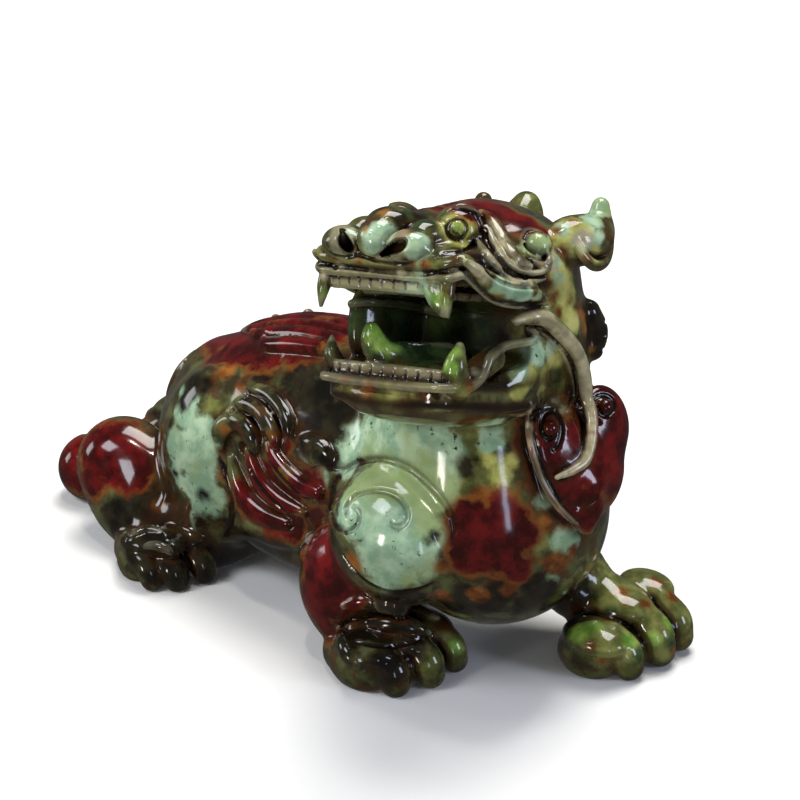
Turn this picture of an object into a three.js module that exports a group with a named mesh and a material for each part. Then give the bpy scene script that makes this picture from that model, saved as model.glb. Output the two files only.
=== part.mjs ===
// A pixiu carved from one block of jade: crouching, its head turned to its own right, mouth open.
// The block is a distance field on a regular grid. Masses are laid on with soft seams, hollows are cut,
// strands and feathers slide onto the skin, and the skin is then read off as one closed mesh of facets.
// The animal looks along +x, its right side is -y, and it stands on z = 0. Millimetres.
import * as THREE from "three";

const LENGTH = 226; // tail tip to front toes
const SPAN = 730; // the same length in carving shares
const SHARE = LENGTH / SPAN; // every number of the carving below is written in shares
const CELL = 3.7; // grid pitch of the block, in shares
const FACETS = 9700; // triangles of the finished stone
const MIDDLE = 50; // y of the body's middle plane
const CORNER_LOW = [-530, -150, -12.3];
const CORNER_HIGH = [290, 260, 530];
const FAR = 40; // field value away from all stone

const HEAD_AT = [79, 20, 383];
const HEAD_YAW = -90; // turned to the animal's right
const HEAD_PITCH = 18; // nose up
const HEAD_ROLL = 12.5; // left cheek up
const MUZZLE_HALF_WIDTH = 85;
const JAW_HALF_WIDTH = 77;
const LIP_RADIUS = 7.5;
const CHEST_RADII = [114, 112, 118];
const TOOTH_PITCH = 14;
const NOSE_MIDDLE = -9;
const NOSE_WING = 40; // from the middle of the nose to the middle of a wing
const PLATE_AT = [182, 64, 242]; // the scrolled plate on the breast
const COLOUR = 0x8fa77c;

// Small vector helpers.
const rad = (degrees) => (degrees * Math.PI) / 180;
const dot = (a, b) => a[0] * b[0] + a[1] * b[1] + a[2] * b[2];
const plus = (a, b, k = 1) => [a[0] + k * b[0], a[1] + k * b[1], a[2] + k * b[2]];
const minus = (a, b) => plus(a, b, -1);
const times = (a, k) => [a[0] * k, a[1] * k, a[2] * k];
const cross = (a, b) => [
  a[1] * b[2] - a[2] * b[1],
  a[2] * b[0] - a[0] * b[2],
  a[0] * b[1] - a[1] * b[0],
];

// A local frame. Its rows are forward, left and up.
class Frame {
  constructor(origin, yaw = 0, pitch = 0, roll = 0) {
    const [y, p, r] = [rad(yaw), rad(pitch), rad(roll)];
    const flat = [Math.cos(y), Math.sin(y), 0];
    const side = [-Math.sin(y), Math.cos(y), 0];
    const forward = plus(times(flat, Math.cos(p)), [0, 0, 1], Math.sin(p));
    const rise = plus(times(flat, -Math.sin(p)), [0, 0, 1], Math.cos(p));
    const left = plus(times(side, Math.cos(r)), rise, Math.sin(r));
    const up = plus(times(side, -Math.sin(r)), rise, Math.cos(r));
    this.origin = origin;
    this.rows = [forward, left, up];
  }
  point([f, l, u]) {
    const [a, b, c] = this.rows;
    return plus(plus(plus(this.origin, a, f), b, l), c, u);
  }
}
const WORLD = new Frame([0, 0, 0]);
const HEAD = new Frame(HEAD_AT, HEAD_YAW, HEAD_PITCH, HEAD_ROLL);
const PLATE = new Frame(PLATE_AT, -4, 18, 0);

// A smooth curve through rows of numbers (points, or radii), at `count` places.
function curve(rows, count) {
  const last = rows.length - 1;
  const row = (i) => {
    if (i < 0) return rows[0].map((v, k) => 2 * v - rows[1][k]);
    if (i > last) return rows[last].map((v, k) => 2 * v - rows[last - 1][k]);
    return rows[i];
  };
  return Array.from({ length: count }, (_, n) => {
    const t = (n / (count - 1)) * last;
    const i = Math.min(Math.floor(t), last - 1);
    const w = t - i;
    const [a, b, c, d] = [row(i - 1), row(i), row(i + 1), row(i + 2)];
    return b.map(
      (v, k) =>
        0.5 *
        (2 * v +
          (c[k] - a[k]) * w +
          (2 * a[k] - 5 * v + 4 * c[k] - d[k]) * w * w +
          (3 * v - a[k] - 3 * c[k] + d[k]) * w * w * w),
    );
  });
}

// The stone: a signed distance on a grid, negative inside.
class Block {
  constructor(low, high, cell) {
    this.low = low;
    this.cell = cell;
    this.size = low.map((v, k) => Math.ceil((high[k] - v) / cell) + 1);
    this.field = new Float32Array(this.size[0] * this.size[1] * this.size[2]).fill(FAR);
  }
  index(i, j, k) {
    return (i * this.size[1] + j) * this.size[2] + k;
  }
  // Calls distance(x, y, z) on the nodes between two corners and joins or cuts the result.
  work(low, high, distance, blend, cut) {
    const [a, b] = [low, high].map((corner, end) =>
      corner.map((v, k) => {
        const n = (v - this.low[k]) / this.cell;
        return Math.min(this.size[k], Math.max(0, end ? Math.ceil(n) + 1 : Math.floor(n)));
      }),
    );
    const [x0, y0, z0] = this.low;
    const pitch = this.cell;
    for (let i = a[0]; i < b[0]; i++)
      for (let j = a[1]; j < b[1]; j++)
        for (let k = a[2]; k < b[2]; k++) {
          const n = this.index(i, j, k);
          const was = this.field[n];
          const d = distance(x0 + i * pitch, y0 + j * pitch, z0 + k * pitch);
          if (d > 3 * FAR) continue;
          const near = Math.max(blend - Math.abs(was - (cut ? -d : d)), 0);
          const ease = blend > 0 ? (near * near * 0.25) / blend : 0;
          this.field[n] = cut ? Math.max(was, -d) + ease : Math.min(was, d) - ease;
        }
  }
  // An egg with three radii along the frame's rows; `power` above 2 squares its corners.
  blob(at, radii, { frame = WORLD, blend = 0, cut = false, power = 2 } = {}) {
    const centre = frame.point(at);
    const [f, l, u] = frame.rows;
    const reach = [0, 1, 2].map(
      (k) => Math.abs(f[k]) * radii[0] + Math.abs(l[k]) * radii[1] + Math.abs(u[k]) * radii[2],
    );
    const pad = blend + 2 * this.cell + 3;
    const [ra, rb, rc] = radii;
    const length = (p, q, r) => Math.sqrt(p * p + q * q + r * r);
    const distance = (x, y, z) => {
      const [p, q, r] = [x - centre[0], y - centre[1], z - centre[2]];
      const a = (f[0] * p + f[1] * q + f[2] * r) / ra;
      const b = (l[0] * p + l[1] * q + l[2] * r) / rb;
      const c = (u[0] * p + u[1] * q + u[2] * r) / rc;
      const round = length(a, b, c);
      const slope = Math.max(length(a / ra, b / rb, c / rc), 1e-6);
      if (power === 2) return (round * (round - 1)) / slope;
      const sum = Math.abs(a) ** power + Math.abs(b) ** power + Math.abs(c) ** power;
      return ((sum ** (1 / power) - 1) * round) / slope;
    };
    const grow = (s) => centre.map((v, k) => v + s * (reach[k] + pad));
    this.work(grow(-1), grow(1), distance, blend, cut);
  }
  // A rod with round ends along points with a radius at each of them.
  rod(points, radii, { blend = 0, cut = false } = {}) {
    const pad = blend + 2 * this.cell + 3;
    const low = [0, 1, 2].map((k) => Math.min(...points.map((p, i) => p[k] - radii[i])) - pad);
    const high = [0, 1, 2].map((k) => Math.max(...points.map((p, i) => p[k] + radii[i])) + pad);
    const parts = points.slice(1).map((b, i) => {
      const a = points[i];
      const ab = minus(b, a);
      return [a, ab, 1 / (dot(ab, ab) + 1e-9), radii[i], radii[i + 1] - radii[i]];
    });
    const distance = (x, y, z) => {
      let best = 1e3;
      for (let n = 0; n < parts.length; n++) {
        const part = parts[n];
        const [a, ab] = part;
        const u = x - a[0];
        const v = y - a[1];
        const w = z - a[2];
        let t = (u * ab[0] + v * ab[1] + w * ab[2]) * part[2];
        t = t < 0 ? 0 : t > 1 ? 1 : t;
        const p = u - t * ab[0];
        const q = v - t * ab[1];
        const s = w - t * ab[2];
        const d = Math.sqrt(p * p + q * q + s * s) - part[3] - part[4] * t;
        if (d < best) best = d;
      }
      return best;
    };
    this.work(low, high, distance, blend, cut);
  }
  // A rod along the smooth curve through the points, which are given in the frame.
  limb(points, radii, { frame = WORLD, blend = 0, cut = false } = {}) {
    const rows = points.map((p, i) => [...frame.point(p), radii[i]]);
    const path = curve(rows, 6 * (rows.length - 1) + 1);
    this.rod(
      path.map((p) => p.slice(0, 3)),
      path.map((p) => Math.max(p[3], 0.5)),
      { blend, cut },
    );
  }
  // The field between the nodes.
  sample([x, y, z]) {
    const q = [x, y, z].map((v, k) =>
      Math.min(this.size[k] - 1.001, Math.max(0, (v - this.low[k]) / this.cell)),
    );
    const [i, j, k] = q.map(Math.floor);
    const [u, v, w] = [q[0] - i, q[1] - j, q[2] - k];
    let sum = 0;
    for (const [di, a] of [[0, 1 - u], [1, u]])
      for (const [dj, b] of [[0, 1 - v], [1, v]])
        for (const [dk, c] of [[0, 1 - w], [1, w]])
          sum += a * b * c * this.field[this.index(i + di, j + dj, k + dk)];
    return sum;
  }
  // Slides a point along `toward`, starting `reach` before it, until it meets the skin.
  land(point, toward, reach = 120, lift = 0) {
    const pace = this.cell / 2;
    let before = this.sample(plus(point, toward, -reach));
    for (let t = -reach + pace; t < reach; t += pace) {
      const here = this.sample(plus(point, toward, t));
      if (here < 0) {
        const back = before > 0 ? (pace * here) / (before - here) : 0;
        return plus(point, toward, t + back - lift);
      }
      before = here;
    }
    return point;
  }
  // A rod laid on the skin: the curve through the points slides along `toward` and stays there.
  strand(points, radii, toward, { blend = 2, lift = 0, cut = false, reach = 120 } = {}) {
    const count = 8 * (points.length - 1) + 1;
    const path = curve(points, count).map((p) => this.land(p, toward, reach, lift));
    const thick = curve(radii.map((r) => [r]), count).map(([r]) => Math.max(r, 0.5));
    this.rod(path, thick, { blend, cut });
  }
  // Everything below the table is ground away.
  level() {
    const [low, high] = [CORNER_LOW, CORNER_HIGH];
    this.work(low, high, (x, y, z) => z, 0, true);
  }
}

// The animal's masses, in shares. First the trunk, from the rump to the neck.
function trunk(s) {
  s.blob([77, 50, 163], CHEST_RADII);
  s.limb([[-272, 50, 120], [-190, 50, 160], [-100, 50, 172], [20, 50, 170]], [98, 96, 100, 102], {
    blend: 30,
  });
  s.blob([-150, 50, 99], [150, 94, 73], { blend: 18, power: 2.8 });
  s.limb(
    [[-300, 50, 172], [-230, 50, 210], [-160, 50, 236], [-80, 48, 240], [0, 46, 250]],
    [46, 40, 40, 46, 50],
    { blend: 24 },
  );
  s.blob([-292, 34, 32], [62, 98, 42], { blend: 12, power: 4 });
  s.limb([[62, 50, 225], [70, 52, 300], [78, 58, 350], [76, 60, 400]], [104, 94, 82, 56], {
    blend: 30,
  });
}

function skull(s) {
  const on = (blend, power = 2, cut = false) => ({ frame: HEAD, blend, power, cut });
  s.blob([-14, 0, 34], [86, 84, 62], on(16));
  s.blob([60, 0, 44], [64, 62, 36], on(16));
  s.blob([56, 0, 33], [76, MUZZLE_HALF_WIDTH + 1, 20], on(8, 4.5));
  s.blob([48, 0, -80], [80, JAW_HALF_WIDTH + 4, 18], on(8, 5));
  s.blob([44, 0, -87], [84, JAW_HALF_WIDTH, 26], on(6, 2.5));
  s.blob([-14, 0, -30], [60, 82, 64], on(20));
  s.blob([104, 0, -24], [92, 140, 36], on(5, 4, true));
  s.limb([[0, 0, -56], [50, -4, -62], [92, -8, -60], [112, -11, -48], [117, -12, -28]],
    [26, 20, 18, 14, 8], on(5));
  s.limb([[90, 0, 64], [50, 0, 68], [0, 0, 70], [-50, 0, 66]], [10, 18, 22, 16], on(14));
}

// One lip: level across the front, then back along both sides to the corners of the mouth.
function lip(s, height, halfWidth, rise, front) {
  const side = [
    [30, halfWidth, height + rise[0]],
    [62, halfWidth, height + rise[1]],
    [94, halfWidth, height + rise[2]],
    [front - 12, halfWidth - 1, height + rise[3]],
    [front - 1, halfWidth - 12, height + rise[4]],
  ];
  const other = side.map(([f, l, u]) => [f, -l, u]).reverse();
  const path = [...side, [front + 1, 0, height + rise[4] - 1], ...other];
  s.limb(path, path.map(() => LIP_RADIUS), { frame: HEAD, blend: 3 });
}

function mouth(s) {
  lip(s, 30, MUZZLE_HALF_WIDTH, [-26, -23, -11, 1, 2], 129);
  lip(s, -74, JAW_HALF_WIDTH, [40, 30, 6, 0, 0], 124);
  s.blob([38, -66, -24], [58, 15, 46], { frame: HEAD, blend: 6, power: 2.6 }); // the far cheek
  for (const [height, halfWidth, front] of [[15, 66, 126], [-64, 62, 119]]) {
    for (const off of [-3.5, 3.5]) {
      const across = [1, 0.5, 0, -0.5, -1].map((k) => [
        front - 5 * k * k,
        halfWidth * k,
        height + off,
      ]);
      s.limb(across, across.map(() => 5), { frame: HEAD, blend: 2 });
    }
    const edge = height - 7 * Math.sign(height);
    for (let n = -3; n <= 3; n++) {
      const left = n * TOOTH_PITCH;
      const out = front - 5 * (left / halfWidth) ** 2;
      s.limb([[out - 8, left, edge], [out + 8, left, edge]], [2, 2], { frame: HEAD, cut: true });
    }
  }
  for (const side of [-1, 1]) {
    const fang = (rows, radii) =>
      s.limb(rows.map(([f, l, u]) => [f, l * side, u]), radii, { frame: HEAD, blend: 2 });
    fang([[123, 73, 22], [126, 75, 8], [126, 77, -9]], [8, 6.8, 3]);
    fang([[104, 68, -70], [110, 74, -54], [106, 80, -38]], [11.5, 8.5, 3]);
    fang([[56, 72, -46], [78, 66, -62], [96, 62, -66]], [12, 12, 9]);
  }
  s.limb([[121, 54, 18], [123, 62, 6], [125, 71, -7]], [10.5, 10, 4], { frame: HEAD, blend: 4 });
}

function face(s) {
  const on = (blend, cut = false) => ({ frame: HEAD, blend, cut });
  s.blob([108, NOSE_MIDDLE - 1, 67], [28, 24, 18], on(4));
  s.blob([126, NOSE_MIDDLE, 55], [21, 21, 20], on(2));
  for (const side of [-1, 1]) {
    const m = (rows) => rows.map(([f, l, u]) => [f, l * side, u]);
    const wing = NOSE_MIDDLE + NOSE_WING * side;
    s.blob([128, wing, 49], [20, 23, 16.5], on(2));
    s.blob([102, wing - 3 * side, 62], [22, 16, 13], on(5));
    s.limb([[150, wing - 16 * side, 42], [147, wing - 5 * side, 46], [142, wing + 6 * side, 53]],
      [3, 7, 6], on(2, true));
    s.blob([72, 56 * side, 60], [23, 21, 22], on(3));
    s.limb(m([[-22, 66, 58], [-42, 71, 63], [-62, 73, 65], [-78, 73, 72], [-85, 72, 85],
      [-86, 72, 97]]), [12, 22, 24, 19, 12, 8.5], on(4));
    s.limb(m([[-44, 98, 64], [-58, 99, 56], [-66, 96, 50]]), [6, 9, 6], on(3, true));
  }
  s.limb([[-70, -12, 70], [-76, -12, 84], [-80, -13, 94]], [22, 19, 14], on(3));
  s.limb([[24, -14, 74], [6, -16, 79], [-14, -16, 79], [-34, -14, 74]], [9, 14, 14, 9], on(5));
  s.limb([[-92, 60, -2], [-102, 58, -20], [-102, 60, -37]], [12, 15, 11], on(6));
}

// Hair swept back over the cheeks, a ball in its curl, and the whiskers.
function mane(s) {
  for (const side of [-1, 1]) {
    const toward = times(HEAD.rows[1], -side);
    const at = (rows) => rows.map(([f, u]) => HEAD.point([f, 90 * side, u]));
    const laid = (rows, radii) => s.strand(at(rows), radii, toward, { lift: 2 });
    laid([[80, 70], [66, 58], [51, 44], [32, 37], [14, 42], [9, 54]], [3, 8, 8, 8, 7, 5]);
    laid([[96, 58], [84, 46], [68, 33], [39, 23], [11, 27]], [3, 8, 8, 8, 4]);
    laid([[122, 40], [99, 22], [72, 11], [40, 8], [5, 0]], [4, 9, 10, 10, 5]);
    s.blob(s.land(HEAD.point([10, 90 * side, 57]), toward), [14, 14, 14], { blend: 2 });
    const whisker = [[42, 84, -12], [18, 92, -8], [-10, 94, -19], [-34, 92, -33], [-52, 87, -48]];
    const end = side < 0 ? [[-60, 80, -96]] : [[-60, 84, -84]];
    const path = [...whisker, ...end].map(([f, l, u]) => HEAD.point([f, l * side, u]));
    const thick = [4, 8, 9, 9, 9, 8.5];
    if (side > 0) {
      path.push(...[[20, 0, 46], [20, -9, 17], [19, -19, 5], [18, -35, 1], [16, -50, 0]]
        .map((p) => PLATE.point(p)));
      thick.push(8.5, 8, 7, 6, 3);
    }
    s.limb(path, thick, { blend: 3 });
  }
}

function breastPlate(s) {
  const on = (blend, power = 2) => ({ frame: PLATE, blend, power });
  s.blob([0, 28, 26], [16, 31, 38], on(3));
  s.blob([0, -27, 26], [16, 37, 40], on(6));
  s.blob([0, -6, -6], [17, 51, 50], on(8));
  s.limb([[0, -8, -20], [0, -12, -44], [0, -16, -60]], [20, 15, 8], on(8));
  s.limb([[-34, 28, 20], [-54, 16, -30]], [42, 38], on(10));
  for (const [across, radius] of [[-29, 15], [40, 14]]) {
    const ring = Array.from({ length: 10 }, (_, n) => rad(-60 + 30 * n)).map((a) =>
      PLATE.point([40, across + radius * Math.cos(a), 38 + radius * Math.sin(a)]),
    );
    s.strand(ring, ring.map(() => 4), times(PLATE.rows[0], -1), { cut: true });
  }
}

// A paw with toes along +x. The pad is x, y, half length and half width; each knuckle and each toe is
// x, y, z and width at its middle.
function paw(s, [padX, padY, length, across], knuckles, toes) {
  s.blob([padX, padY, 17], [length, across, 24], { blend: 6, power: 2.6 });
  for (const [x, y, z, width] of knuckles) {
    s.blob([x - 8, y, 0.45 * z], [1.35 * width, width, 0.55 * z + 5], { blend: 7 });
    s.blob([x, y, z], [1.4 * width, 1.05 * width, 0.6 * width], { blend: 6 });
  }
  for (const [x, y, z, width] of toes)
    s.limb(
      [[x - 15, y - 2, 1.5 * z], [x, y, 1.05 * z], [x + 5, y + 1, 0.5 * z]],
      [0.85 * width, width, 0.9 * width],
      { blend: 3 },
    );
}

function legs(s) {
  for (const side of [-1, 1]) {
    const y = (v) => MIDDLE + side * v;
    s.blob([-254, y(66), 120], [62, 44, 98], { blend: 22 });
    s.limb(
      [[-320, y(66), 60], [-388, y(82), 78], [-368, y(98), 42], [-316, y(112), 24]],
      [36, 46, 36, 28],
      { blend: 8 },
    );
    paw(
      s,
      [-290, y(122), 48, 34],
      [[-282, y(148), 42, 18], [-262, y(134), 44, 20], [-260, y(106), 42, 19]],
      [[-262, y(156), 21, 14], [-244, y(138), 20, 15], [-236, y(108), 21, 15]],
    );
  }
  s.blob([42, -44, 152], [74, 60, 70], { blend: 8 });
  s.limb([[10, -22, 120], [-24, -36, 82], [-24, -42, 46], [4, -40, 26]], [56, 56, 42, 32], {
    blend: 10,
  });
  paw(
    s,
    [22, -42, 56, 58],
    [[36, -82, 40, 24], [46, -46, 42, 24], [46, -10, 40, 22]],
    [[64, -76, 24, 17], [76, -41, 25, 17], [74, -5, 25, 15]],
  );
  s.blob([66, 120, 112], [56, 44, 60], { blend: 10 });
  s.limb([[84, 118, 92], [124, 136, 52], [150, 142, 44]], [46, 34, 30], { blend: 12 });
  paw(
    s,
    [166, 142, 46, 60],
    [[177, 93, 38, 26], [168, 139, 54, 26], [164, 183, 55, 22]],
    [[203, 106, 26, 17], [207, 146, 31, 19], [203, 181, 31, 17]],
  );
  // folds of skin above the near front paw
  for (const [x, y, z, w] of [[2, -40, 60, 48], [-4, -38, 78, 48]])
    s.limb(
      [[x - 34, y - w, z + 8], [x + 18, y - 0.75 * w, z], [x + 44, y, z - 4],
        [x + 18, y + 0.8 * w, z + 4]],
      [5, 10, 11, 6],
      { blend: 3 },
    );
}

// Feathers on both flanks, running back from the shoulder and curling at their tips.
function wings(s) {
  for (const side of [-1, 1]) {
    const put = (rows) => rows.map(([x, z]) => [x, MIDDLE + side * 150, z]);
    const into = [0, -side, 0];
    s.strand(put([[-60, 100], [-117, 88], [-165, 84], [-190, 108], [-196, 140]]),
      [8, 16, 18, 14, 5], into, { lift: -6, blend: 6 });
    const feathers = [
      [[[-40, 152], [-80, 136], [-117, 132], [-144, 149], [-159, 173], [-178, 190], [-198, 188],
        [-206, 166]], [5, 10, 13, 14, 14, 14, 12, 8]],
      [[[-56, 160], [-101, 160], [-125, 176], [-137, 197], [-160, 210], [-188, 208]],
        [5, 11, 12, 12, 11, 7]],
      [[[-74, 174], [-106, 186], [-118, 205], [-142, 220], [-172, 224]], [5, 9, 10, 10, 6]],
    ];
    for (const [rows, radii] of feathers)
      s.strand(put(rows), radii, into, { lift: 3, blend: 3 });
    s.blob(s.land([-70, MIDDLE + side * 150, 202], into), [24, 8, 15], { blend: 6 });
  }
}

// The curled line cut into each shoulder.
function scrolls(s) {
  for (const [side, dx, dz] of [[-1, 0, 0], [1, 50, -22]]) {
    const put = (rows) => rows.map(([x, z]) => [x + dx, MIDDLE + side * 150, z + dz]);
    const cut = (rows) =>
      s.strand(put(rows), rows.map(() => 4.6), [0, -side, 0], { cut: true });
    cut([[22, 176], [18, 160], [2, 152], [-18, 158]]);
    cut([[16, 178], [22, 192], [40, 200], [60, 196], [70, 182], [62, 170], [52, 172]]);
  }
}

// Hair down the spine, and the tail: a band down the rump with a ball curled out by the right hock.
function spineAndTail(s) {
  s.limb([[-330, 48, 130], [-392, 44, 90], [-436, 20, 50], [-466, -12, 34]], [26, 26, 26, 38], {
    blend: 8,
  });
  for (const [off, start] of [[0, -296], [-17, -270], [17, -270], [-32, -230], [32, -230]]) {
    const run = [[start, 0.5], [start * 0.55 - 90, 1], [start * 0.2 - 120, 1], [-90, 0.8], [-48, 0.55]];
    s.strand(run.map(([x, k]) => [x, MIDDLE + off * k, 290]), [3, 9, 10, 8, 3], [0, 0, -1], {
      blend: 3,
      lift: 2,
    });
  }
  for (const off of [-22, 0, 22])
    s.strand([[200, 0.6], [170, 1], [130, 1], [96, 0.5]].map(([z, k]) => [-400, MIDDLE + off * k, z]),
      [3, 10, 11, 5], [1, 0, 0], { blend: 3, lift: 2 });
}

// Cells whose corners would give two sheets of skin are filled a little, so that the mesh closes.
function settle(s) {
  const corner = (c, i, j, k) => s.index(i + ((c >> 2) & 1), j + ((c >> 1) & 1), k + (c & 1));
  const joined = (mask) => {
    const start = Math.log2(mask & -mask);
    let seen = 1 << start;
    for (let round = 0; round < 8; round++)
      for (let c = 0; c < 8; c++)
        if ((seen >> c) & 1)
          for (const bit of [1, 2, 4]) seen |= (1 << (c ^ bit)) & mask;
    return seen === mask;
  };
  const simple = Array.from({ length: 256 }, (_, mask) => {
    if (mask === 0 || mask === 255) return true;
    for (const [p, q] of [[1, 2], [1, 4], [2, 4]])
      for (let c = 0; c < 8; c++) {
        const bits = [c, c ^ p, c ^ q, c ^ p ^ q].map((n) => (mask >> n) & 1);
        if (bits[0] === bits[3] && bits[1] === bits[2] && bits[0] !== bits[1]) return false;
      }
    return joined(mask) && joined(255 ^ mask);
  });
  for (let again = true; again; ) {
    again = false;
    for (let i = 0; i < s.size[0] - 1; i++)
      for (let j = 0; j < s.size[1] - 1; j++)
        for (let k = 0; k < s.size[2] - 1; k++) {
          let mask = 0;
          for (let c = 0; c < 8; c++) if (s.field[corner(c, i, j, k)] < 0) mask |= 1 << c;
          if (simple[mask]) continue;
          let best = -1;
          for (let c = 0; c < 8; c++) {
            const n = corner(c, i, j, k);
            if (s.field[n] >= 0 && (best < 0 || s.field[n] < s.field[best])) best = n;
          }
          s.field[best] = -0.05 * s.cell;
          again = true;
        }
  }
}

// The skin: one vertex per crossed cell, one square per crossed grid line.
function skin(s) {
  const ids = new Int32Array(s.field.length).fill(-1);
  const points = [];
  const f = s.field;
  for (let i = 0; i < s.size[0] - 1; i++)
    for (let j = 0; j < s.size[1] - 1; j++)
      for (let k = 0; k < s.size[2] - 1; k++) {
        let within = 0;
        for (let c = 0; c < 8; c++)
          if (f[s.index(i + (c >> 2), j + ((c >> 1) & 1), k + (c & 1))] < 0) within++;
        if (within % 8 === 0) continue;
        const sum = [0, 0, 0];
        let hits = 0;
        for (let c = 0; c < 8; c++)
          for (const bit of [4, 2, 1]) {
            if (c & bit) continue;
            const [a, b] = [c, c | bit].map((n) =>
              f[s.index(i + ((n >> 2) & 1), j + ((n >> 1) & 1), k + (n & 1))],
            );
            if (a < 0 === b < 0) continue;
            const t = a / (a - b);
            sum[0] += ((c >> 2) & 1) + (bit === 4 ? t : 0);
            sum[1] += ((c >> 1) & 1) + (bit === 2 ? t : 0);
            sum[2] += (c & 1) + (bit === 1 ? t : 0);
            hits++;
          }
        ids[s.index(i, j, k)] = points.length;
        points.push([i, j, k].map((n, axis) => s.low[axis] + s.cell * (n + sum[axis] / hits)));
      }
  const faces = [];
  const step = [[1, 0, 0], [0, 1, 0], [0, 0, 1]];
  for (let i = 1; i < s.size[0] - 1; i++)
    for (let j = 1; j < s.size[1] - 1; j++)
      for (let k = 1; k < s.size[2] - 1; k++)
        for (let axis = 0; axis < 3; axis++) {
          const [di, dj, dk] = step[axis];
          const inside = f[s.index(i, j, k)] < 0;
          if (inside === f[s.index(i + di, j + dj, k + dk)] < 0) continue;
          const [u, v] = [step[(axis + 1) % 3], step[(axis + 2) % 3]];
          const at = (p) => ids[s.index(...p)];
          const here = [i, j, k];
          const ring = [at(minus(minus(here, u), v)), at(minus(here, v)), at(here), at(minus(here, u))];
          const [a, b, c, d] = inside ? ring : ring.reverse();
          const across = minus(points[a], points[c]);
          const other = minus(points[b], points[d]);
          if (dot(across, across) < dot(other, other)) faces.push([a, b, c], [a, c, d]);
          else faces.push([a, b, d], [b, c, d]);
        }
  return { points, faces };
}

// Keeps the largest body of a mesh.
function largest({ points, faces }) {
  const parent = points.map((_, i) => i);
  const root = (i) => {
    while (parent[i] !== i) i = parent[i] = parent[parent[i]];
    return i;
  };
  for (const [a, b, c] of faces) {
    parent[root(a)] = root(b);
    parent[root(b)] = root(c);
  }
  const count = new Map();
  for (const [a] of faces) count.set(root(a), (count.get(root(a)) || 0) + 1);
  const keep = [...count].sort((p, q) => q[1] - p[1])[0][0];
  return { points, faces: faces.filter(([a]) => root(a) === keep) };
}

// A heap of edges, cheapest first.
class Heap {
  constructor() {
    this.items = [];
  }
  push(item) {
    const h = this.items;
    let i = h.push(item) - 1;
    for (; i > 0 && h[(i - 1) >> 1][0] > item[0]; i = (i - 1) >> 1) h[i] = h[(i - 1) >> 1];
    h[i] = item;
  }
  pop() {
    const h = this.items;
    const top = h[0];
    const last = h.pop();
    if (!h.length) return top;
    let i = 0;
    for (;;) {
      let c = 2 * i + 1;
      if (c >= h.length) break;
      if (c + 1 < h.length && h[c + 1][0] < h[c][0]) c++;
      if (h[c][0] >= last[0]) break;
      h[i] = h[c];
      i = c;
    }
    h[i] = last;
    return top;
  }
}

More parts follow.
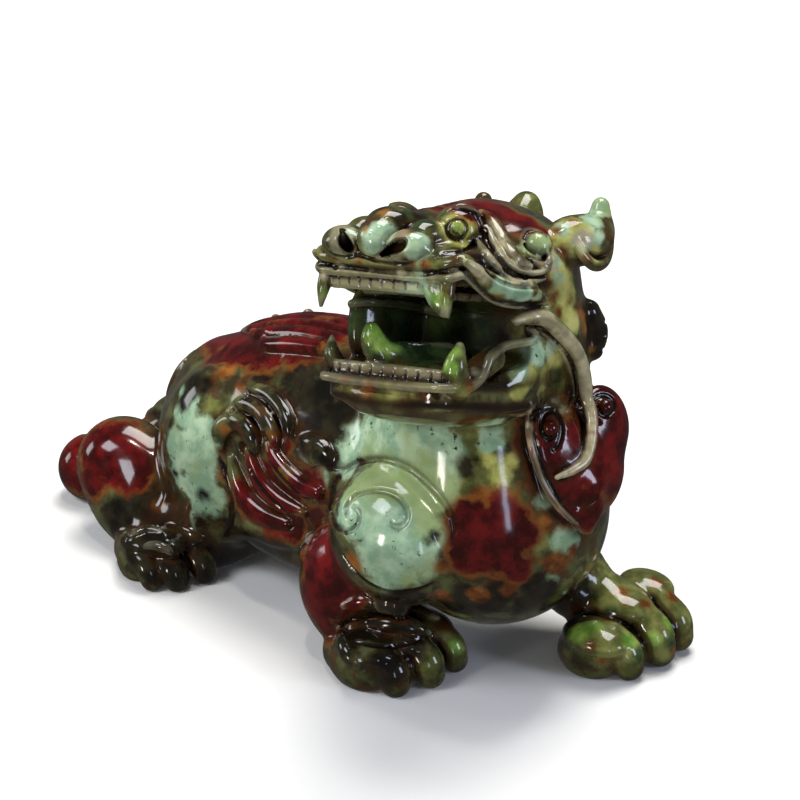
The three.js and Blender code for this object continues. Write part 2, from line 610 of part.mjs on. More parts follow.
// Folds the cheapest edges together until `target` facets are left, by summed squared plane distances.
function thinned({ points, faces }, target) {
  const fans = points.map(() => new Set());
  const quadrics = points.map(() => new Float64Array(10));
  const stamp = new Uint32Array(points.length);
  faces.forEach((face, n) => {
    const [a, b, c] = face.map((i) => points[i]);
    const normal = cross(minus(b, a), minus(c, a));
    const area = Math.hypot(...normal) || 1e-9;
    const [x, y, z] = times(normal, 1 / area);
    const w = -dot([x, y, z], a);
    const q = [x * x, x * y, x * z, x * w, y * y, y * z, y * w, z * z, z * w, w * w];
    for (const i of face) {
      fans[i].add(n);
      q.forEach((v, k) => (quadrics[i][k] += v * area));
    }
  });
  const error = (q, [x, y, z]) =>
    q[0] * x * x + 2 * q[1] * x * y + 2 * q[2] * x * z + 2 * q[3] * x + q[4] * y * y +
    2 * q[5] * y * z + 2 * q[6] * y + q[7] * z * z + 2 * q[8] * z + q[9];
  const place = (q, a, b) => {
    const middle = times(plus(a, b), 0.5);
    const e = 1e-3 * (q[0] + q[4] + q[7]);
    const rows = [[q[0] + e, q[1], q[2]], [q[1], q[4] + e, q[5]], [q[2], q[5], q[7] + e]];
    const right = [e * middle[0] - q[3], e * middle[1] - q[6], e * middle[2] - q[8]];
    const det = dot(rows[0], cross(rows[1], rows[2]));
    if (Math.abs(det) < 1e-12) return middle;
    return [
      dot(right, cross(rows[1], rows[2])) / det,
      dot(rows[0], cross(right, rows[2])) / det,
      dot(rows[0], cross(rows[1], right)) / det,
    ];
  };
  const heap = new Heap();
  const offer = (a, b) => {
    const q = quadrics[a].map((v, k) => v + quadrics[b][k]);
    const spot = place(q, points[a], points[b]);
    const span = minus(points[a], points[b]);
    heap.push([error(q, spot) + 1e-4 * dot(span, span), a, b, stamp[a], stamp[b], spot]);
  };
  const around = (i) => {
    const out = new Set();
    for (const n of fans[i]) for (const j of faces[n]) if (j !== i) out.add(j);
    return out;
  };
  faces.forEach((face) =>
    face.forEach((a, k) => {
      const b = face[(k + 1) % 3];
      if (a < b) offer(a, b);
    }),
  );
  const turns = (i, gone, spot) => {
    for (const n of fans[i]) {
      if (faces[n].includes(gone)) continue;
      const was = faces[n].map((j) => points[j]);
      const now = faces[n].map((j) => (j === i ? spot : points[j]));
      const before = cross(minus(was[1], was[0]), minus(was[2], was[0]));
      const after = cross(minus(now[1], now[0]), minus(now[2], now[0]));
      const length = Math.hypot(...after) * Math.hypot(...before);
      if (dot(before, after) < 0.2 * length || Math.hypot(...after) < 1e-3) return true;
    }
    return false;
  };
  let left = faces.length;
  while (left > target && heap.items.length) {
    const [, a, b, sa, sb, spot] = heap.pop();
    if (stamp[a] !== sa || stamp[b] !== sb || !fans[a].size || !fans[b].size) continue;
    const near = around(a);
    if (!near.has(b)) continue;
    const shared = [...around(b)].filter((i) => near.has(i));
    if (shared.length !== 2 || turns(a, b, spot) || turns(b, a, spot)) continue;
    for (const n of [...fans[b]]) {
      if (faces[n].includes(a)) {
        for (const j of faces[n]) fans[j].delete(n);
        faces[n] = null;
        left--;
      } else {
        faces[n] = faces[n].map((j) => (j === b ? a : j));
        fans[a].add(n);
      }
    }
    fans[b].clear();
    points[a] = spot;
    quadrics[b].forEach((v, k) => (quadrics[a][k] += v));
    stamp[a]++;
    stamp[b]++;
    for (const j of around(a)) offer(a, j);
  }
  return { points, faces: faces.filter(Boolean) };
}

// In millimetres, with the middle of the foot print at the origin.
function geometryOf({ points, faces }) {
  const used = [...new Set(faces.flat())];
  const ends = [0, 1, 2].map((k) => {
    const values = used.map((i) => points[i][k]);
    return [values.reduce((p, v) => Math.min(p, v)), values.reduce((p, v) => Math.max(p, v))];
  });
  const shift = [(ends[0][0] + ends[0][1]) / 2, (ends[1][0] + ends[1][1]) / 2, 0];
  const renumber = new Map(used.map((i, n) => [i, n]));
  const flat = used.flatMap((i) => {
    const [x, y, z] = minus(points[i], shift);
    return [x * SHARE, y * SHARE, Math.abs(z) < 0.4 * CELL ? 0 : z * SHARE];
  });
  const geometry = new THREE.BufferGeometry();
  geometry.setAttribute("position", new THREE.Float32BufferAttribute(flat, 3));
  geometry.setIndex(faces.flatMap((face) => face.map((i) => renumber.get(i))));
  geometry.computeVertexNormals();
  return geometry;
}

function carve() {
  const stone = new Block(CORNER_LOW, CORNER_HIGH, CELL);
  trunk(stone);
  skull(stone);
  mouth(stone);
  face(stone);
  breastPlate(stone);
  mane(stone);
  legs(stone);
  wings(stone);
  scrolls(stone);
  spineAndTail(stone);
  stone.level();
  settle(stone);
  return geometryOf(thinned(largest(skin(stone)), FACETS));
}

const jade = new THREE.MeshStandardMaterial({ color: COLOUR, roughness: 0.2 });
const figure = new THREE.Mesh(carve(), jade);
figure.name = "pixiu_figure";
const group = new THREE.Group();
group.add(figure);
export default group;
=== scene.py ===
"""A pixiu carved from one block of mottled jade, on a pale studio floor.

The beast crouches along +X with its head turned over its right shoulder and its mouth open. The whole
stone is worked out as one distance field on a grid: masses are laid on with soft seams, hollows and
lines are cut, and locks, feathers and scrolls slide onto the skin. The skin is then read off as one
closed mesh, thinned, and given the stone's colour zones as attributes. All carving is written in
shares: one share is the carved length over 730.
"""

import logging
import math
from dataclasses import dataclass
from enum import Enum
from functools import cached_property

import bpy
import numpy as np
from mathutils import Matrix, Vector
from numpy.typing import ArrayLike, NDArray


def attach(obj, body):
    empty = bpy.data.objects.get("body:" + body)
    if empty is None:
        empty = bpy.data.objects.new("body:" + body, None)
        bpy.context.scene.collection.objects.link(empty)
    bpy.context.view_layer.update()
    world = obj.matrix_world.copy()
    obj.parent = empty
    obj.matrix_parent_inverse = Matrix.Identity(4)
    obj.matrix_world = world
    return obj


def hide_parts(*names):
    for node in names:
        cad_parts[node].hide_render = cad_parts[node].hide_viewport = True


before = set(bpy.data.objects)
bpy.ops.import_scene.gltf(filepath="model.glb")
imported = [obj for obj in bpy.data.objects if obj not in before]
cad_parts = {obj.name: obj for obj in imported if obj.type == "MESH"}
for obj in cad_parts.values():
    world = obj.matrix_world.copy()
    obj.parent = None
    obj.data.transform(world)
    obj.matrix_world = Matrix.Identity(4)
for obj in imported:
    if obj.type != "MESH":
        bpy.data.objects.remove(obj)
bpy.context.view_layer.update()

LOG = logging.getLogger("pixiu")
Array = NDArray[np.float32]
Triple = tuple[float, float, float]

SHARE = 0.226 / 730  # metres to one share
FAR = 40.0  # field value away from all stone
MIDDLE = 50.0  # y of the body's middle plane
BOTH_SIDES = (1.0, -1.0)  # the near or left side, then the far or right one
WINDOW_PAD = 9.0  # how far past its reach a form's distance is still worked out
LEAST_RADIUS = 0.4
CUT_SEAM = 0.8  # width of the soft seam along a groove's edge
SPAN_PLACES = 9  # places to each span of a line that is laid on the skin
LANDING_STEP = 1.25
SIGHT_REACH = 620.0  # how far along a line of sight the skin is looked for, both ways
TWIN_REACH = 60.0  # the same for a line mirrored to the other side
JUST_INSIDE = -0.08  # field value of a corner that is filled
GROOVE_REACH = 4.0  # how far above the skin a narrow cut is felt for
HOLLOW_REACH = 10.0  # how far above the skin a wide hollow is felt for
RIDGE_REACH = 7.0  # how far under the skin a ridge is felt for
SKIN_TRIANGLES = 192000


# Geometry helpers


def curve(rows: ArrayLike, count: int) -> Array:
    """A smooth curve through rows of numbers: each span is the cubic whose slopes are half the step
    between the neighbours.

    Args:
        rows: one row for each point; a row may hold a radius as well.
        count: how many places to return.

    Returns:
        An array of `count` rows.
    """
    knots = np.asarray(rows, float)
    ends = np.vstack([2 * knots[0] - knots[1], knots, 2 * knots[-1] - knots[-2]])
    t = np.linspace(0, len(knots) - 1, count)
    i = np.minimum(t.astype(int), len(knots) - 2)
    w = (t - i)[:, None]
    a, b, c, d = ends[i], ends[i + 1], ends[i + 2], ends[i + 3]
    return 0.5 * (2 * b + (c - a) * w + (2 * a - 5 * b + 4 * c - d) * w**2 + (3 * b - a - 3 * c + d) * w**3)


def ring(count: int, start: float = 0.0, end: float = 360.0) -> tuple[Array, Array]:
    """Cosines and sines of evenly spaced angles in degrees, both ends included."""
    angle = np.radians(np.linspace(start, end, count))
    return np.cos(angle), np.sin(angle)


@dataclass(frozen=True)
class Axes:
    """A local frame whose rows point forward, left and up; pitch lifts the front, roll the left side."""

    origin: Triple
    yaw: float = 0.0
    pitch: float = 0.0
    roll: float = 0.0

    @cached_property
    def rows(self) -> Array:
        """The three unit directions as rows.

        Returns:
            Forward, left and up in the stone's own directions.
        """
        y, p, r = (math.radians(v) for v in (self.yaw, self.pitch, self.roll))
        flat = np.array([math.cos(y), math.sin(y), 0.0])
        side = np.array([-math.sin(y), math.cos(y), 0.0])
        rise = -math.sin(p) * flat + np.array([0.0, 0.0, math.cos(p)])
        forward = math.cos(p) * flat + np.array([0.0, 0.0, math.sin(p)])
        left = math.cos(r) * side + math.sin(r) * rise
        return np.array([forward, left, -math.sin(r) * side + math.cos(r) * rise])

    def place(self, points: ArrayLike) -> Array:
        """Points given as (forward, left, up), in the stone's own coordinates."""
        return np.asarray(self.origin) + np.asarray(points, float) @ self.rows

    def find(self, points: ArrayLike) -> Array:
        """Points of the stone as (forward, left, up) in the frame."""
        return (np.asarray(points, float) - np.asarray(self.origin)) @ self.rows.T


# The head's frame has the nose forward, the near cheek left and the crown up. The plate's lies on the
# breast, with its face forward.
WORLD = Axes((0.0, 0.0, 0.0))
BODY = Axes((0.0, MIDDLE, 0.0))
HEAD = Axes((79.0, 20.0, 383.0), yaw=-90.0, pitch=18.0, roll=12.5)
PLATE = Axes((182.0, 64.0, 242.0), yaw=-4.0, pitch=18.0)


@dataclass(frozen=True)
class Sight:
    """The photograph's camera, in shares. Lines that were read off the picture are written as pixels
    and come back onto the skin along its lines of sight."""

    azimuth: float = 45.0
    elevation: float = 25.0
    distance: float = 2740.0
    look_up: float = 240.0
    picture: float = 800.0

    @cached_property
    def axes(self) -> Array:
        """The camera's right, up and backward directions as rows.

        Returns:
            Three unit rows.
        """
        a, e = math.radians(self.azimuth), math.radians(self.elevation)
        right = np.array([math.cos(a), math.sin(a), 0.0])
        back = np.array([math.sin(a) * math.cos(e), -math.cos(a) * math.cos(e), math.sin(e)])
        return np.array([right, np.cross(back, right), back])

    def lines(self, spots: ArrayLike) -> tuple[Array, Array]:
        """Where each pixel lies on the plane through the point looked at, and its line's direction.

        Args:
            spots: rows of pixel x and y, from the picture's upper left corner.

        Returns:
            Points of the stone's space, and unit directions away from the camera.
        """
        right, up, back = self.axes
        xy = np.atleast_2d(np.asarray(spots, float)) - self.picture / 2
        target = up * self.look_up
        points = target + xy[:, :1] * right - xy[:, 1:] * up
        ways = points - (target + back * self.distance)
        return points, ways / np.linalg.norm(ways, axis=1)[:, None]

    def meet(self, spots: ArrayLike, axes: Axes, forward: float) -> Array:
        """Where each pixel's line meets the plane of a frame that lies `forward` ahead of its origin.

        Args:
            spots: rows of pixel x and y.
            axes: the frame.
            forward: the plane's distance ahead of the frame's origin.

        Returns:
            Points of the stone's space.
        """
        points, ways = self.lines(spots)
        gap = forward - axes.find(points)[:, 0]
        return points + (gap / (ways @ axes.rows[0]))[:, None] * ways


SIGHT = Sight()


def mirrored(points: ArrayLike, side: float) -> Array:
    """Rows of (forward, left, up) with the left value turned to the given side, +1 or -1."""
    return np.asarray(points, float) * np.array([1.0, side, 1.0])


def over(y: float, turn: float) -> float:
    """A y as it is, or with turn -1 as far on the other side of the body's middle plane."""
    return MIDDLE + turn * (y - MIDDLE)


def swept(points: ArrayLike, radii: ArrayLike) -> tuple[Array, Array]:
    """The smooth line through a few points, and its radius at each place.

    Args:
        points: the line's points or pixels.
        radii: one for each point, or one for all.

    Returns:
        The places along the line, and as many radii.
    """
    knots = np.asarray(points, float)
    thick = np.broadcast_to(np.asarray(radii, float), (len(knots),))
    count = SPAN_PLACES * (len(knots) - 1) + 1
    return curve(knots, count), curve(thick[:, None], count)[:, 0]


# The block of stone


class Block:
    """A signed distance on a grid of uneven pitch, negative inside the stone."""

    def __init__(self, lines: list[Array]) -> None:
        """Starts with no stone.

        Args:
            lines: the grid's places along x, y and z, in shares.
        """
        self.lines = lines
        self.field = np.full([len(line) for line in lines], FAR, np.float32)

    def window(self, low: ArrayLike, high: ArrayLike) -> tuple[tuple[slice, ...], list[Array]]:
        """The slices of the grid between two corners, and the places there, shaped to combine.

        Args:
            low: the lower corner.
            high: the upper corner.

        Returns:
            One slice for each axis, and the places along each one inside it.
        """
        cuts = tuple(
            slice(max(int(np.searchsorted(line, a)) - 1, 0), int(np.searchsorted(line, b)) + 1)
            for line, a, b in zip(self.lines, low, high)
        )
        shapes = ((-1, 1, 1), (1, -1, 1), (1, 1, -1))
        return cuts, [line[cut].reshape(shape) for line, cut, shape in zip(self.lines, cuts, shapes)]

    def merge(self, cuts: tuple[slice, ...], distance: Array, blend: float, cut: bool) -> None:
        """Joins a form to the stone, or cuts it away, with a seam that is soft over `blend` shares.

        The seam is the quadratic smooth minimum: the lower of the two distances, less a quarter of the
        squared overlap of the blend band over its width.

        Args:
            cuts: the window of the grid.
            distance: the form's signed distance there.
            blend: width of the soft seam.
            cut: cuts the form away.
        """
        was = self.field[cuts]
        form = -distance if cut else distance
        ease = 0.0
        if blend > 0:
            near = np.maximum(blend - np.abs(was - form), 0)
            ease = near * near * np.float32(0.25 / blend)
        self.field[cuts] = np.maximum(was, form) + ease if cut else np.minimum(was, form) - ease

    def blob(
        self,
        at: ArrayLike,
        radii: ArrayLike,
        axes: Axes = WORLD,
        blend: float = 0.0,
        power: float = 2.0,
        cut: bool = False,
    ) -> None:
        """An egg with three radii along the frame's rows: the sum of |q/r| to the power is one on its skin.

        Args:
            at: its middle, in the frame.
            radii: along forward, left and up.
            axes: the frame.
            blend: width of the soft seam.
            power: 2 for an egg, more for squarer corners.
            cut: cuts the form away.
        """
        centre = axes.place(at)
        r = np.asarray(radii, float)
        reach = (np.abs(axes.rows) * r[:, None]).sum(0) + blend + WINDOW_PAD
        cuts, places = self.window(centre - reach, centre + reach)
        q = [
            sum(np.float32(row[k] / size) * (places[k] - np.float32(centre[k])) for k in range(3))
            for row, size in zip(axes.rows, r)
        ]
        round_ = np.sqrt(q[0] ** 2 + q[1] ** 2 + q[2] ** 2)
        slope = np.sqrt(sum((part / np.float32(size)) ** 2 for part, size in zip(q, r)))
        slope = np.maximum(slope, np.float32(1e-6))
        if power == 2.0:
            distance = round_ * (round_ - 1) / slope
        else:
            total = sum(np.abs(part) ** np.float32(power) for part in q) ** np.float32(1 / power)
            distance = (total - 1) * round_ / slope
        self.merge(cuts, distance, blend, cut)

    def rod(self, points: ArrayLike, radii: ArrayLike, blend: float = 0.0, cut: bool = False) -> None:
        """A rod with round ends along points: the least distance to any of its tapered spans.

        Args:
            points: the line it follows.
            radii: one for each point, or one for all.
            blend: width of the soft seam.
            cut: cuts the form away.
        """
        path = np.asarray(points, float)
        thick = np.broadcast_to(np.asarray(radii, float), (len(path),))
        pad = blend + WINDOW_PAD
        low, high = (path - thick[:, None]).min(0) - pad, (path + thick[:, None]).max(0) + pad
        cuts, places = self.window(low, high)
        best = np.full([part.shape[k] for k, part in enumerate(places)], 3 * FAR, np.float32)
        for a, b, ra, rb in zip(path[:-1], path[1:], thick[:-1], thick[1:]):
            near, spots = self.window(np.minimum(a - ra, b - rb) - pad, np.maximum(a + ra, b + rb) + pad)
            local = tuple(slice(n.start - c.start, n.stop - c.start) for n, c in zip(near, cuts))
            u, v, w = (spot - np.float32(start) for spot, start in zip(spots, a))
            ab = (b - a).astype(np.float32)
            t = np.clip((u * ab[0] + v * ab[1] + w * ab[2]) / np.float32(ab @ ab + 1e-9), 0, 1)
            span = np.sqrt((u - t * ab[0]) ** 2 + (v - t * ab[1]) ** 2 + (w - t * ab[2]) ** 2)
            part = best[local]
            distance = span - np.float32(ra) - np.float32(rb - ra) * t
            best[local] = np.minimum(part, distance[tuple(slice(0, size) for size in part.shape)])
        self.merge(cuts, best, blend, cut)

    def limb(
        self,
        points: ArrayLike,
        radii: ArrayLike,
        axes: Axes = WORLD,
        blend: float = 0.0,
        cut: bool = False,
        fine: int = 5,
    ) -> None:
        """A rod along the smooth curve through a few points, which are given in the frame.

        Args:
            points: rows of forward, left and up.
            radii: one for each point, or one for all.
            axes: the frame.
            blend: width of the soft seam.
            cut: cuts the form away.
            fine: straight spans to each stretch of the curve.
        """
        knots = axes.place(points)
        thick = np.broadcast_to(np.asarray(radii, float), (len(knots),))
        path = curve(np.column_stack([knots, thick]), fine * (len(knots) - 1) + 1)
        self.rod(path[:, :3], np.maximum(path[:, 3], LEAST_RADIUS), blend, cut)

    def sample(self, points: ArrayLike, values: Array | None = None) -> Array:
        """The field, or other values on its grid, between the grid's places by linear shares.

        Args:
            points: x, y and z along the last axis.
            values: an array on the grid, or none for the field.

        Returns:
            One value for each point.
        """
        values = self.field if values is None else values
        spots = [
            np.interp(np.asarray(points)[..., k], line, np.arange(len(line)))
            for k, line in enumerate(self.lines)
        ]
        low = [np.minimum(spot.astype(int), len(line) - 2) for spot, line in zip(spots, self.lines)]
        part = [spot - floor for spot, floor in zip(spots, low)]
        total = np.zeros(spots[0].shape, np.float32)
        for corner in np.ndindex(2, 2, 2):
            share = np.prod([p if up else 1 - p for p, up in zip(part, corner)], axis=0)
            total += share * values[tuple(floor + up for floor, up in zip(low, corner))]
        return total

    def slope(self, points: ArrayLike) -> Array:
        """The field's slope at each point, at unit length: the way out of the stone.

        Args:
            points: rows of x, y and z.

        Returns:
            A unit row for each point.
        """
        slopes = [
            self.sample(points, np.gradient(self.field, line.astype(np.float32), axis=k))
            for k, line in enumerate(self.lines)
        ]
        slope = np.column_stack(slopes)
        return slope / np.maximum(np.linalg.norm(slope, axis=1), 1e-6)[:, None]

    def land(
        self, points: ArrayLike, toward: ArrayLike, reach: float = 120.0
    ) -> tuple[Array, NDArray[np.bool_]]:
        """Slides points along a direction until they meet the skin.

        Args:
            points: rows of x, y and z.
            toward: one unit direction, or one for each point.
            reach: how far before and after each point to look.

        Returns:
            The landed points, and which of them met the skin; the others stay where they were.
        """
        start = np.atleast_2d(np.asarray(points, float))
        ways = np.broadcast_to(np.asarray(toward, float), start.shape)
        steps = np.arange(-reach, reach, LANDING_STEP)
        values = self.sample(start[:, None, :] + steps[None, :, None] * ways[:, None, :])
        inside = values < 0
        first = np.argmax(inside, axis=1)
        before = np.maximum(first - 1, 0)
        row = np.arange(len(start))
        a, b = values[row, before], values[row, first]
        met = inside.any(axis=1) & (first > 0)
        travel = np.where(met, steps[before] + LANDING_STEP * a / np.maximum(a - b, 1e-6), 0)
        return start + travel[:, None] * ways, met

    def strand(
        self,
        points: ArrayLike,
        radii: ArrayLike,
        toward: ArrayLike,
        blend: float = 2.0,
        lift: float = 0.0,
        cut: bool = False,
    ) -> None:
        """A rod laid on the skin, or a groove cut in it, along the smooth curve through a few points.

        Args:
            points: the curve's points, away from the skin.
            radii: one for each point, or one for all.
            toward: the direction in which the curve slides onto the skin.
            blend: width of the soft seam.
            lift: how far the rod's middle stays above the skin.
            cut: cuts a groove.
        """
        line, thick = swept(points, radii)
        path, met = self.land(line, toward)
        path -= lift * np.asarray(toward, float)
        self.rod(path[met], np.maximum(thick[met], LEAST_RADIUS), CUT_SEAM if cut else blend, cut)

    def trace(
        self,
        spots: ArrayLike,
        radii: ArrayLike,
        twin: Axes | None = None,
        blend: float = 1.2,
        lift: float = 0.0,
        cut: bool = False,
        even: int = 0,
    ) -> None:
        """A rod or a groove on the skin under a smooth line of the picture, and its mirror twin.

        Args:
            spots: the line's pixels.
            radii: one for each pixel, or one for all, in shares.
            twin: the frame whose middle plane mirrors the line to the other side, or none.
            blend: width of the soft seam.
            lift: how far the rod's middle stays above the skin, toward the camera.
            cut: cuts a groove.
            even: how many places before and after each one its depth is averaged over, so that a rod
                doesn't follow every bump under it.
        """
        pixels, thick = swept(spots, radii)
        points, ways = SIGHT.lines(pixels)
        path, met = self.land(points, ways, SIGHT_REACH)
        if even and met.all():
            depth = np.pad(((path - points) * ways).sum(1), even, "edge")
            depth = np.convolve(depth, np.full(2 * even + 1, 1 / (2 * even + 1)), "valid")
            path = points + depth[:, None] * ways
        laid = [(path[met] - lift * ways[met], thick[met])]
        if twin is not None and met.any():
            other = twin.place(mirrored(twin.find(path[met]), -1.0))
            turned = mirrored(ways[met] @ twin.rows.T, -1.0) @ twin.rows
            landed, found = self.land(other, turned, TWIN_REACH)
            laid.append((landed[found] - lift * turned[found], thick[met][found]))
        for line, width in laid:
            if len(line) > 1:
                self.rod(line, np.maximum(width, LEAST_RADIUS), CUT_SEAM if cut else blend, cut)

    def under(self, spot: tuple[float, float], sink: float, twin: Axes | None = None) -> list[Array]:
        """The place `sink` under the skin at a pixel, away from the camera, and its mirror twin.

        Args:
            spot: the pixel.
            sink: depth in shares.
            twin: the frame whose middle plane mirrors it, or none.

        Returns:
            One place, or two.
        """
        points, ways = SIGHT.lines(spot)
        place = (self.land(points, ways, SIGHT_REACH)[0] + sink * ways)[0]
        return [place] if twin is None else [place, twin.place(mirrored(twin.find(place), -1.0))]

    def balls(self, places: list[Array], radius: float, blend: float = CUT_SEAM, cut: bool = False) -> None:
        """Balls, or round hollows, at the places."""
        for place in places:
            self.blob(place, np.full(3, radius), blend=blend, cut=cut)

    def level(self) -> None:
        """Grinds the bottom flat on z = 0."""
        self.field = np.maximum(self.field, -self.lines[2].reshape(1, 1, -1))

    def settle(self) -> None:
        """Fills cells whose corners would give two sheets of skin, so that the mesh closes.

        A cell is simple when its inside corners hang together along edges, its outside corners do too,
        and no face has its inside corners on one diagonal. Any other cell has its shallowest outside
        corner moved just inside, until none is left.
        """
        simple = np.array([_is_simple(mask) for mask in range(256)])
        while True:
            inside = self.field < 0
            mask = np.zeros([n - 1 for n in self.field.shape], np.uint8)
            for bit, corner in enumerate(np.ndindex(2, 2, 2)):
                mask |= inside[_shifted(corner)].astype(np.uint8) << bit
            cells = np.argwhere(~simple[mask])
            if not len(cells):
                return
            corners = cells[:, None, :] + np.array(list(np.ndindex(2, 2, 2)))[None]
            values = self.field[tuple(corners.transpose(2, 0, 1))]
            pick = np.argmin(np.where(values < 0, np.inf, values), axis=1)
            self.field[tuple(corners[np.arange(len(cells)), pick].T)] = JUST_INSIDE


def _shifted(corner: tuple[int, ...]) -> tuple[slice, ...]:
    """Slices that give every cell's corner of that number."""
    return tuple(slice(up, -1 if up == 0 else None) for up in corner)


def _is_simple(mask: int) -> bool:
    """Whether a cell with these inside corners is crossed by a single sheet of skin.

    Args:
        mask: one bit for each corner of the cell, set where the corner is inside.

    Returns:
        True for a cell that isn't crossed at all, too.
    """
    if mask in (0, 255):
        return True
    for p, q in ((1, 2), (1, 4), (2, 4)):
        for c in range(8):
            bits = [(mask >> n) & 1 for n in (c, c ^ p, c ^ q, c ^ p ^ q)]
            if bits[0] == bits[3] != bits[1] == bits[2]:
                return False
    for side in (mask, 255 ^ mask):
        seen = side & -side
        for _ in range(8):
            for c in range(8):
                if (seen >> c) & 1:
                    for bit in (1, 2, 4):
                        seen |= (1 << (c ^ bit)) & side
        if seen != side:
            return False
    return True


def grid_lines(*spans: tuple[float, float], end: float, coarse: float = 1.0) -> Array:
    """Grid places from spans of (start, pitch) up to the end.

    Args:
        spans: where each stretch of the line starts, and its pitch.
        end: the last place.
        coarse: a factor on every pitch.

    Returns:
        The places in rising order.
    """
    starts = [start for start, _ in spans] + [end]
    parts = []
    for (start, pitch), stop in zip(spans, starts[1:]):
        count = max(int(round((stop - start) / (pitch * coarse))), 1)
        parts.append(np.linspace(start, stop, count, endpoint=False))
    return np.append(np.concatenate(parts), end).astype(np.float32)


# Forms that the sub-assemblies are made of

Pairs = tuple[tuple[float, float], ...]
Pixels = Pairs  # rows of pixel x and y
Radii = tuple[float, ...] | float


@dataclass(frozen=True)
class Mass:
    """An egg of stone laid on with a soft seam, or a hollow of that shape."""

    at: Triple
    radii: Triple
    blend: float = 0.0
    power: float = 2.0
    cut: bool = False

    def carve(self, block: Block, axes: Axes = WORLD, side: float = 1.0) -> None:
        """Lays or cuts it in a frame; with side -1, on the frame's right."""
        block.blob(mirrored(self.at, side), self.radii, axes, self.blend, self.power, self.cut)


@dataclass(frozen=True)
class Limb:
    """A tapered limb, or a groove, along the smooth curve through a few points of a frame."""

    points: tuple[Triple, ...]
    radii: Radii
    blend: float = 0.0
    cut: bool = False
    fine: int = 5

    def carve(self, block: Block, axes: Axes = WORLD, side: float = 1.0) -> None:
        """Lays or cuts it in a frame; with side -1, on the frame's right."""
        block.limb(mirrored(self.points, side), self.radii, axes, self.blend, self.cut, self.fine)


@dataclass(frozen=True)
class Stroke:
    """A rod laid on the skin, or a groove cut in it, under a line of the picture."""

    spots: Pixels
    radii: Radii
    lift: float = 0.0
    blend: float = 1.2
    cut: bool = False
    even: int = 0

    def carve(self, block: Block, twin: Axes | None = None) -> None:
        """Lays or cuts it, and its mirror twin if there is a frame to mirror it in."""
        block.trace(self.spots, self.radii, twin, self.blend, self.lift, self.cut, self.even)


def groove(spots: Pixels, radii: Radii, lift: float = 0.0) -> Stroke:
    """A stroke that is cut in."""
    return Stroke(spots, radii, lift, cut=True)


def narrowing(spots: Pixels, radius: float = 2.6) -> Stroke:
    """A groove of one radius that narrows to one share at both ends."""
    return groove(spots, (1.0, *[radius] * (len(spots) - 2), 1.0))


# The animal

MUZZLE_HALF_WIDTH = 85.0
JAW_HALF_WIDTH = 77.0


@dataclass(frozen=True)
class Trunk:
    """Chest, barrel, back and neck."""

    chest: Mass = Mass((77, 50, 163), (114, 112, 118))
    barrel: Limb = Limb(
        ((-272, 50, 120), (-190, 50, 160), (-100, 50, 172), (20, 50, 170)), (98, 96, 100, 102), 30
    )
    belly: Mass = Mass((-150, 50, 99), (150, 94, 73), 18, 2.8)
    back: Limb = Limb(
        ((-300, 50, 172), (-230, 50, 210), (-160, 50, 236), (-80, 48, 240), (0, 46, 250)),
        (46, 40, 40, 46, 50),
        24,
    )
    rump: Mass = Mass((-292, 34, 32), (62, 98, 42), 12, 4)
    neck: Limb = Limb(((62, 50, 225), (70, 52, 300), (78, 58, 350), (76, 60, 400)), (104, 94, 82, 56), 30)

    def carve(self, block: Block) -> None:
        """Lays the big masses, with the neck last."""
        for form in (self.chest, self.barrel, self.belly, self.back, self.rump, self.neck):
            form.carve(block)


@dataclass(frozen=True)
class Skull:
    """Cranium, bridge of the nose, upper muzzle, lower jaw and cheeks, in the head's frame."""

    cranium: Mass = Mass((-14, 0, 34), (86, 84, 62), 16)
    bridge: Mass = Mass((60, 0, 44), (64, 62, 36), 16)
    muzzle: Mass = Mass((56, 0, 34), (76, MUZZLE_HALF_WIDTH + 1, 19), 8, 4.5)
    jaw_edge: Mass = Mass((46, 0, -80), (80, JAW_HALF_WIDTH + 3, 17), 8, 5)
    chin: Mass = Mass((44, 0, -87), (84, JAW_HALF_WIDTH, 26), 6, 2.5)
    throat: Mass = Mass((-14, 0, -30), (60, 82, 64), 20)
    cheek: Mass = Mass((14, 60, -54), (36, 26, 32), 10)

    def carve(self, block: Block) -> None:
        """Lays the masses on the middle, then the ball of each cheek behind the mouth's corner.

        Args:
            block: the stone.
        """
        for mass in (self.cranium, self.bridge, self.muzzle, self.jaw_edge, self.chin, self.throat):
            mass.carve(block, HEAD)
        for side in BOTH_SIDES:
            self.cheek.carve(block, HEAD, side)


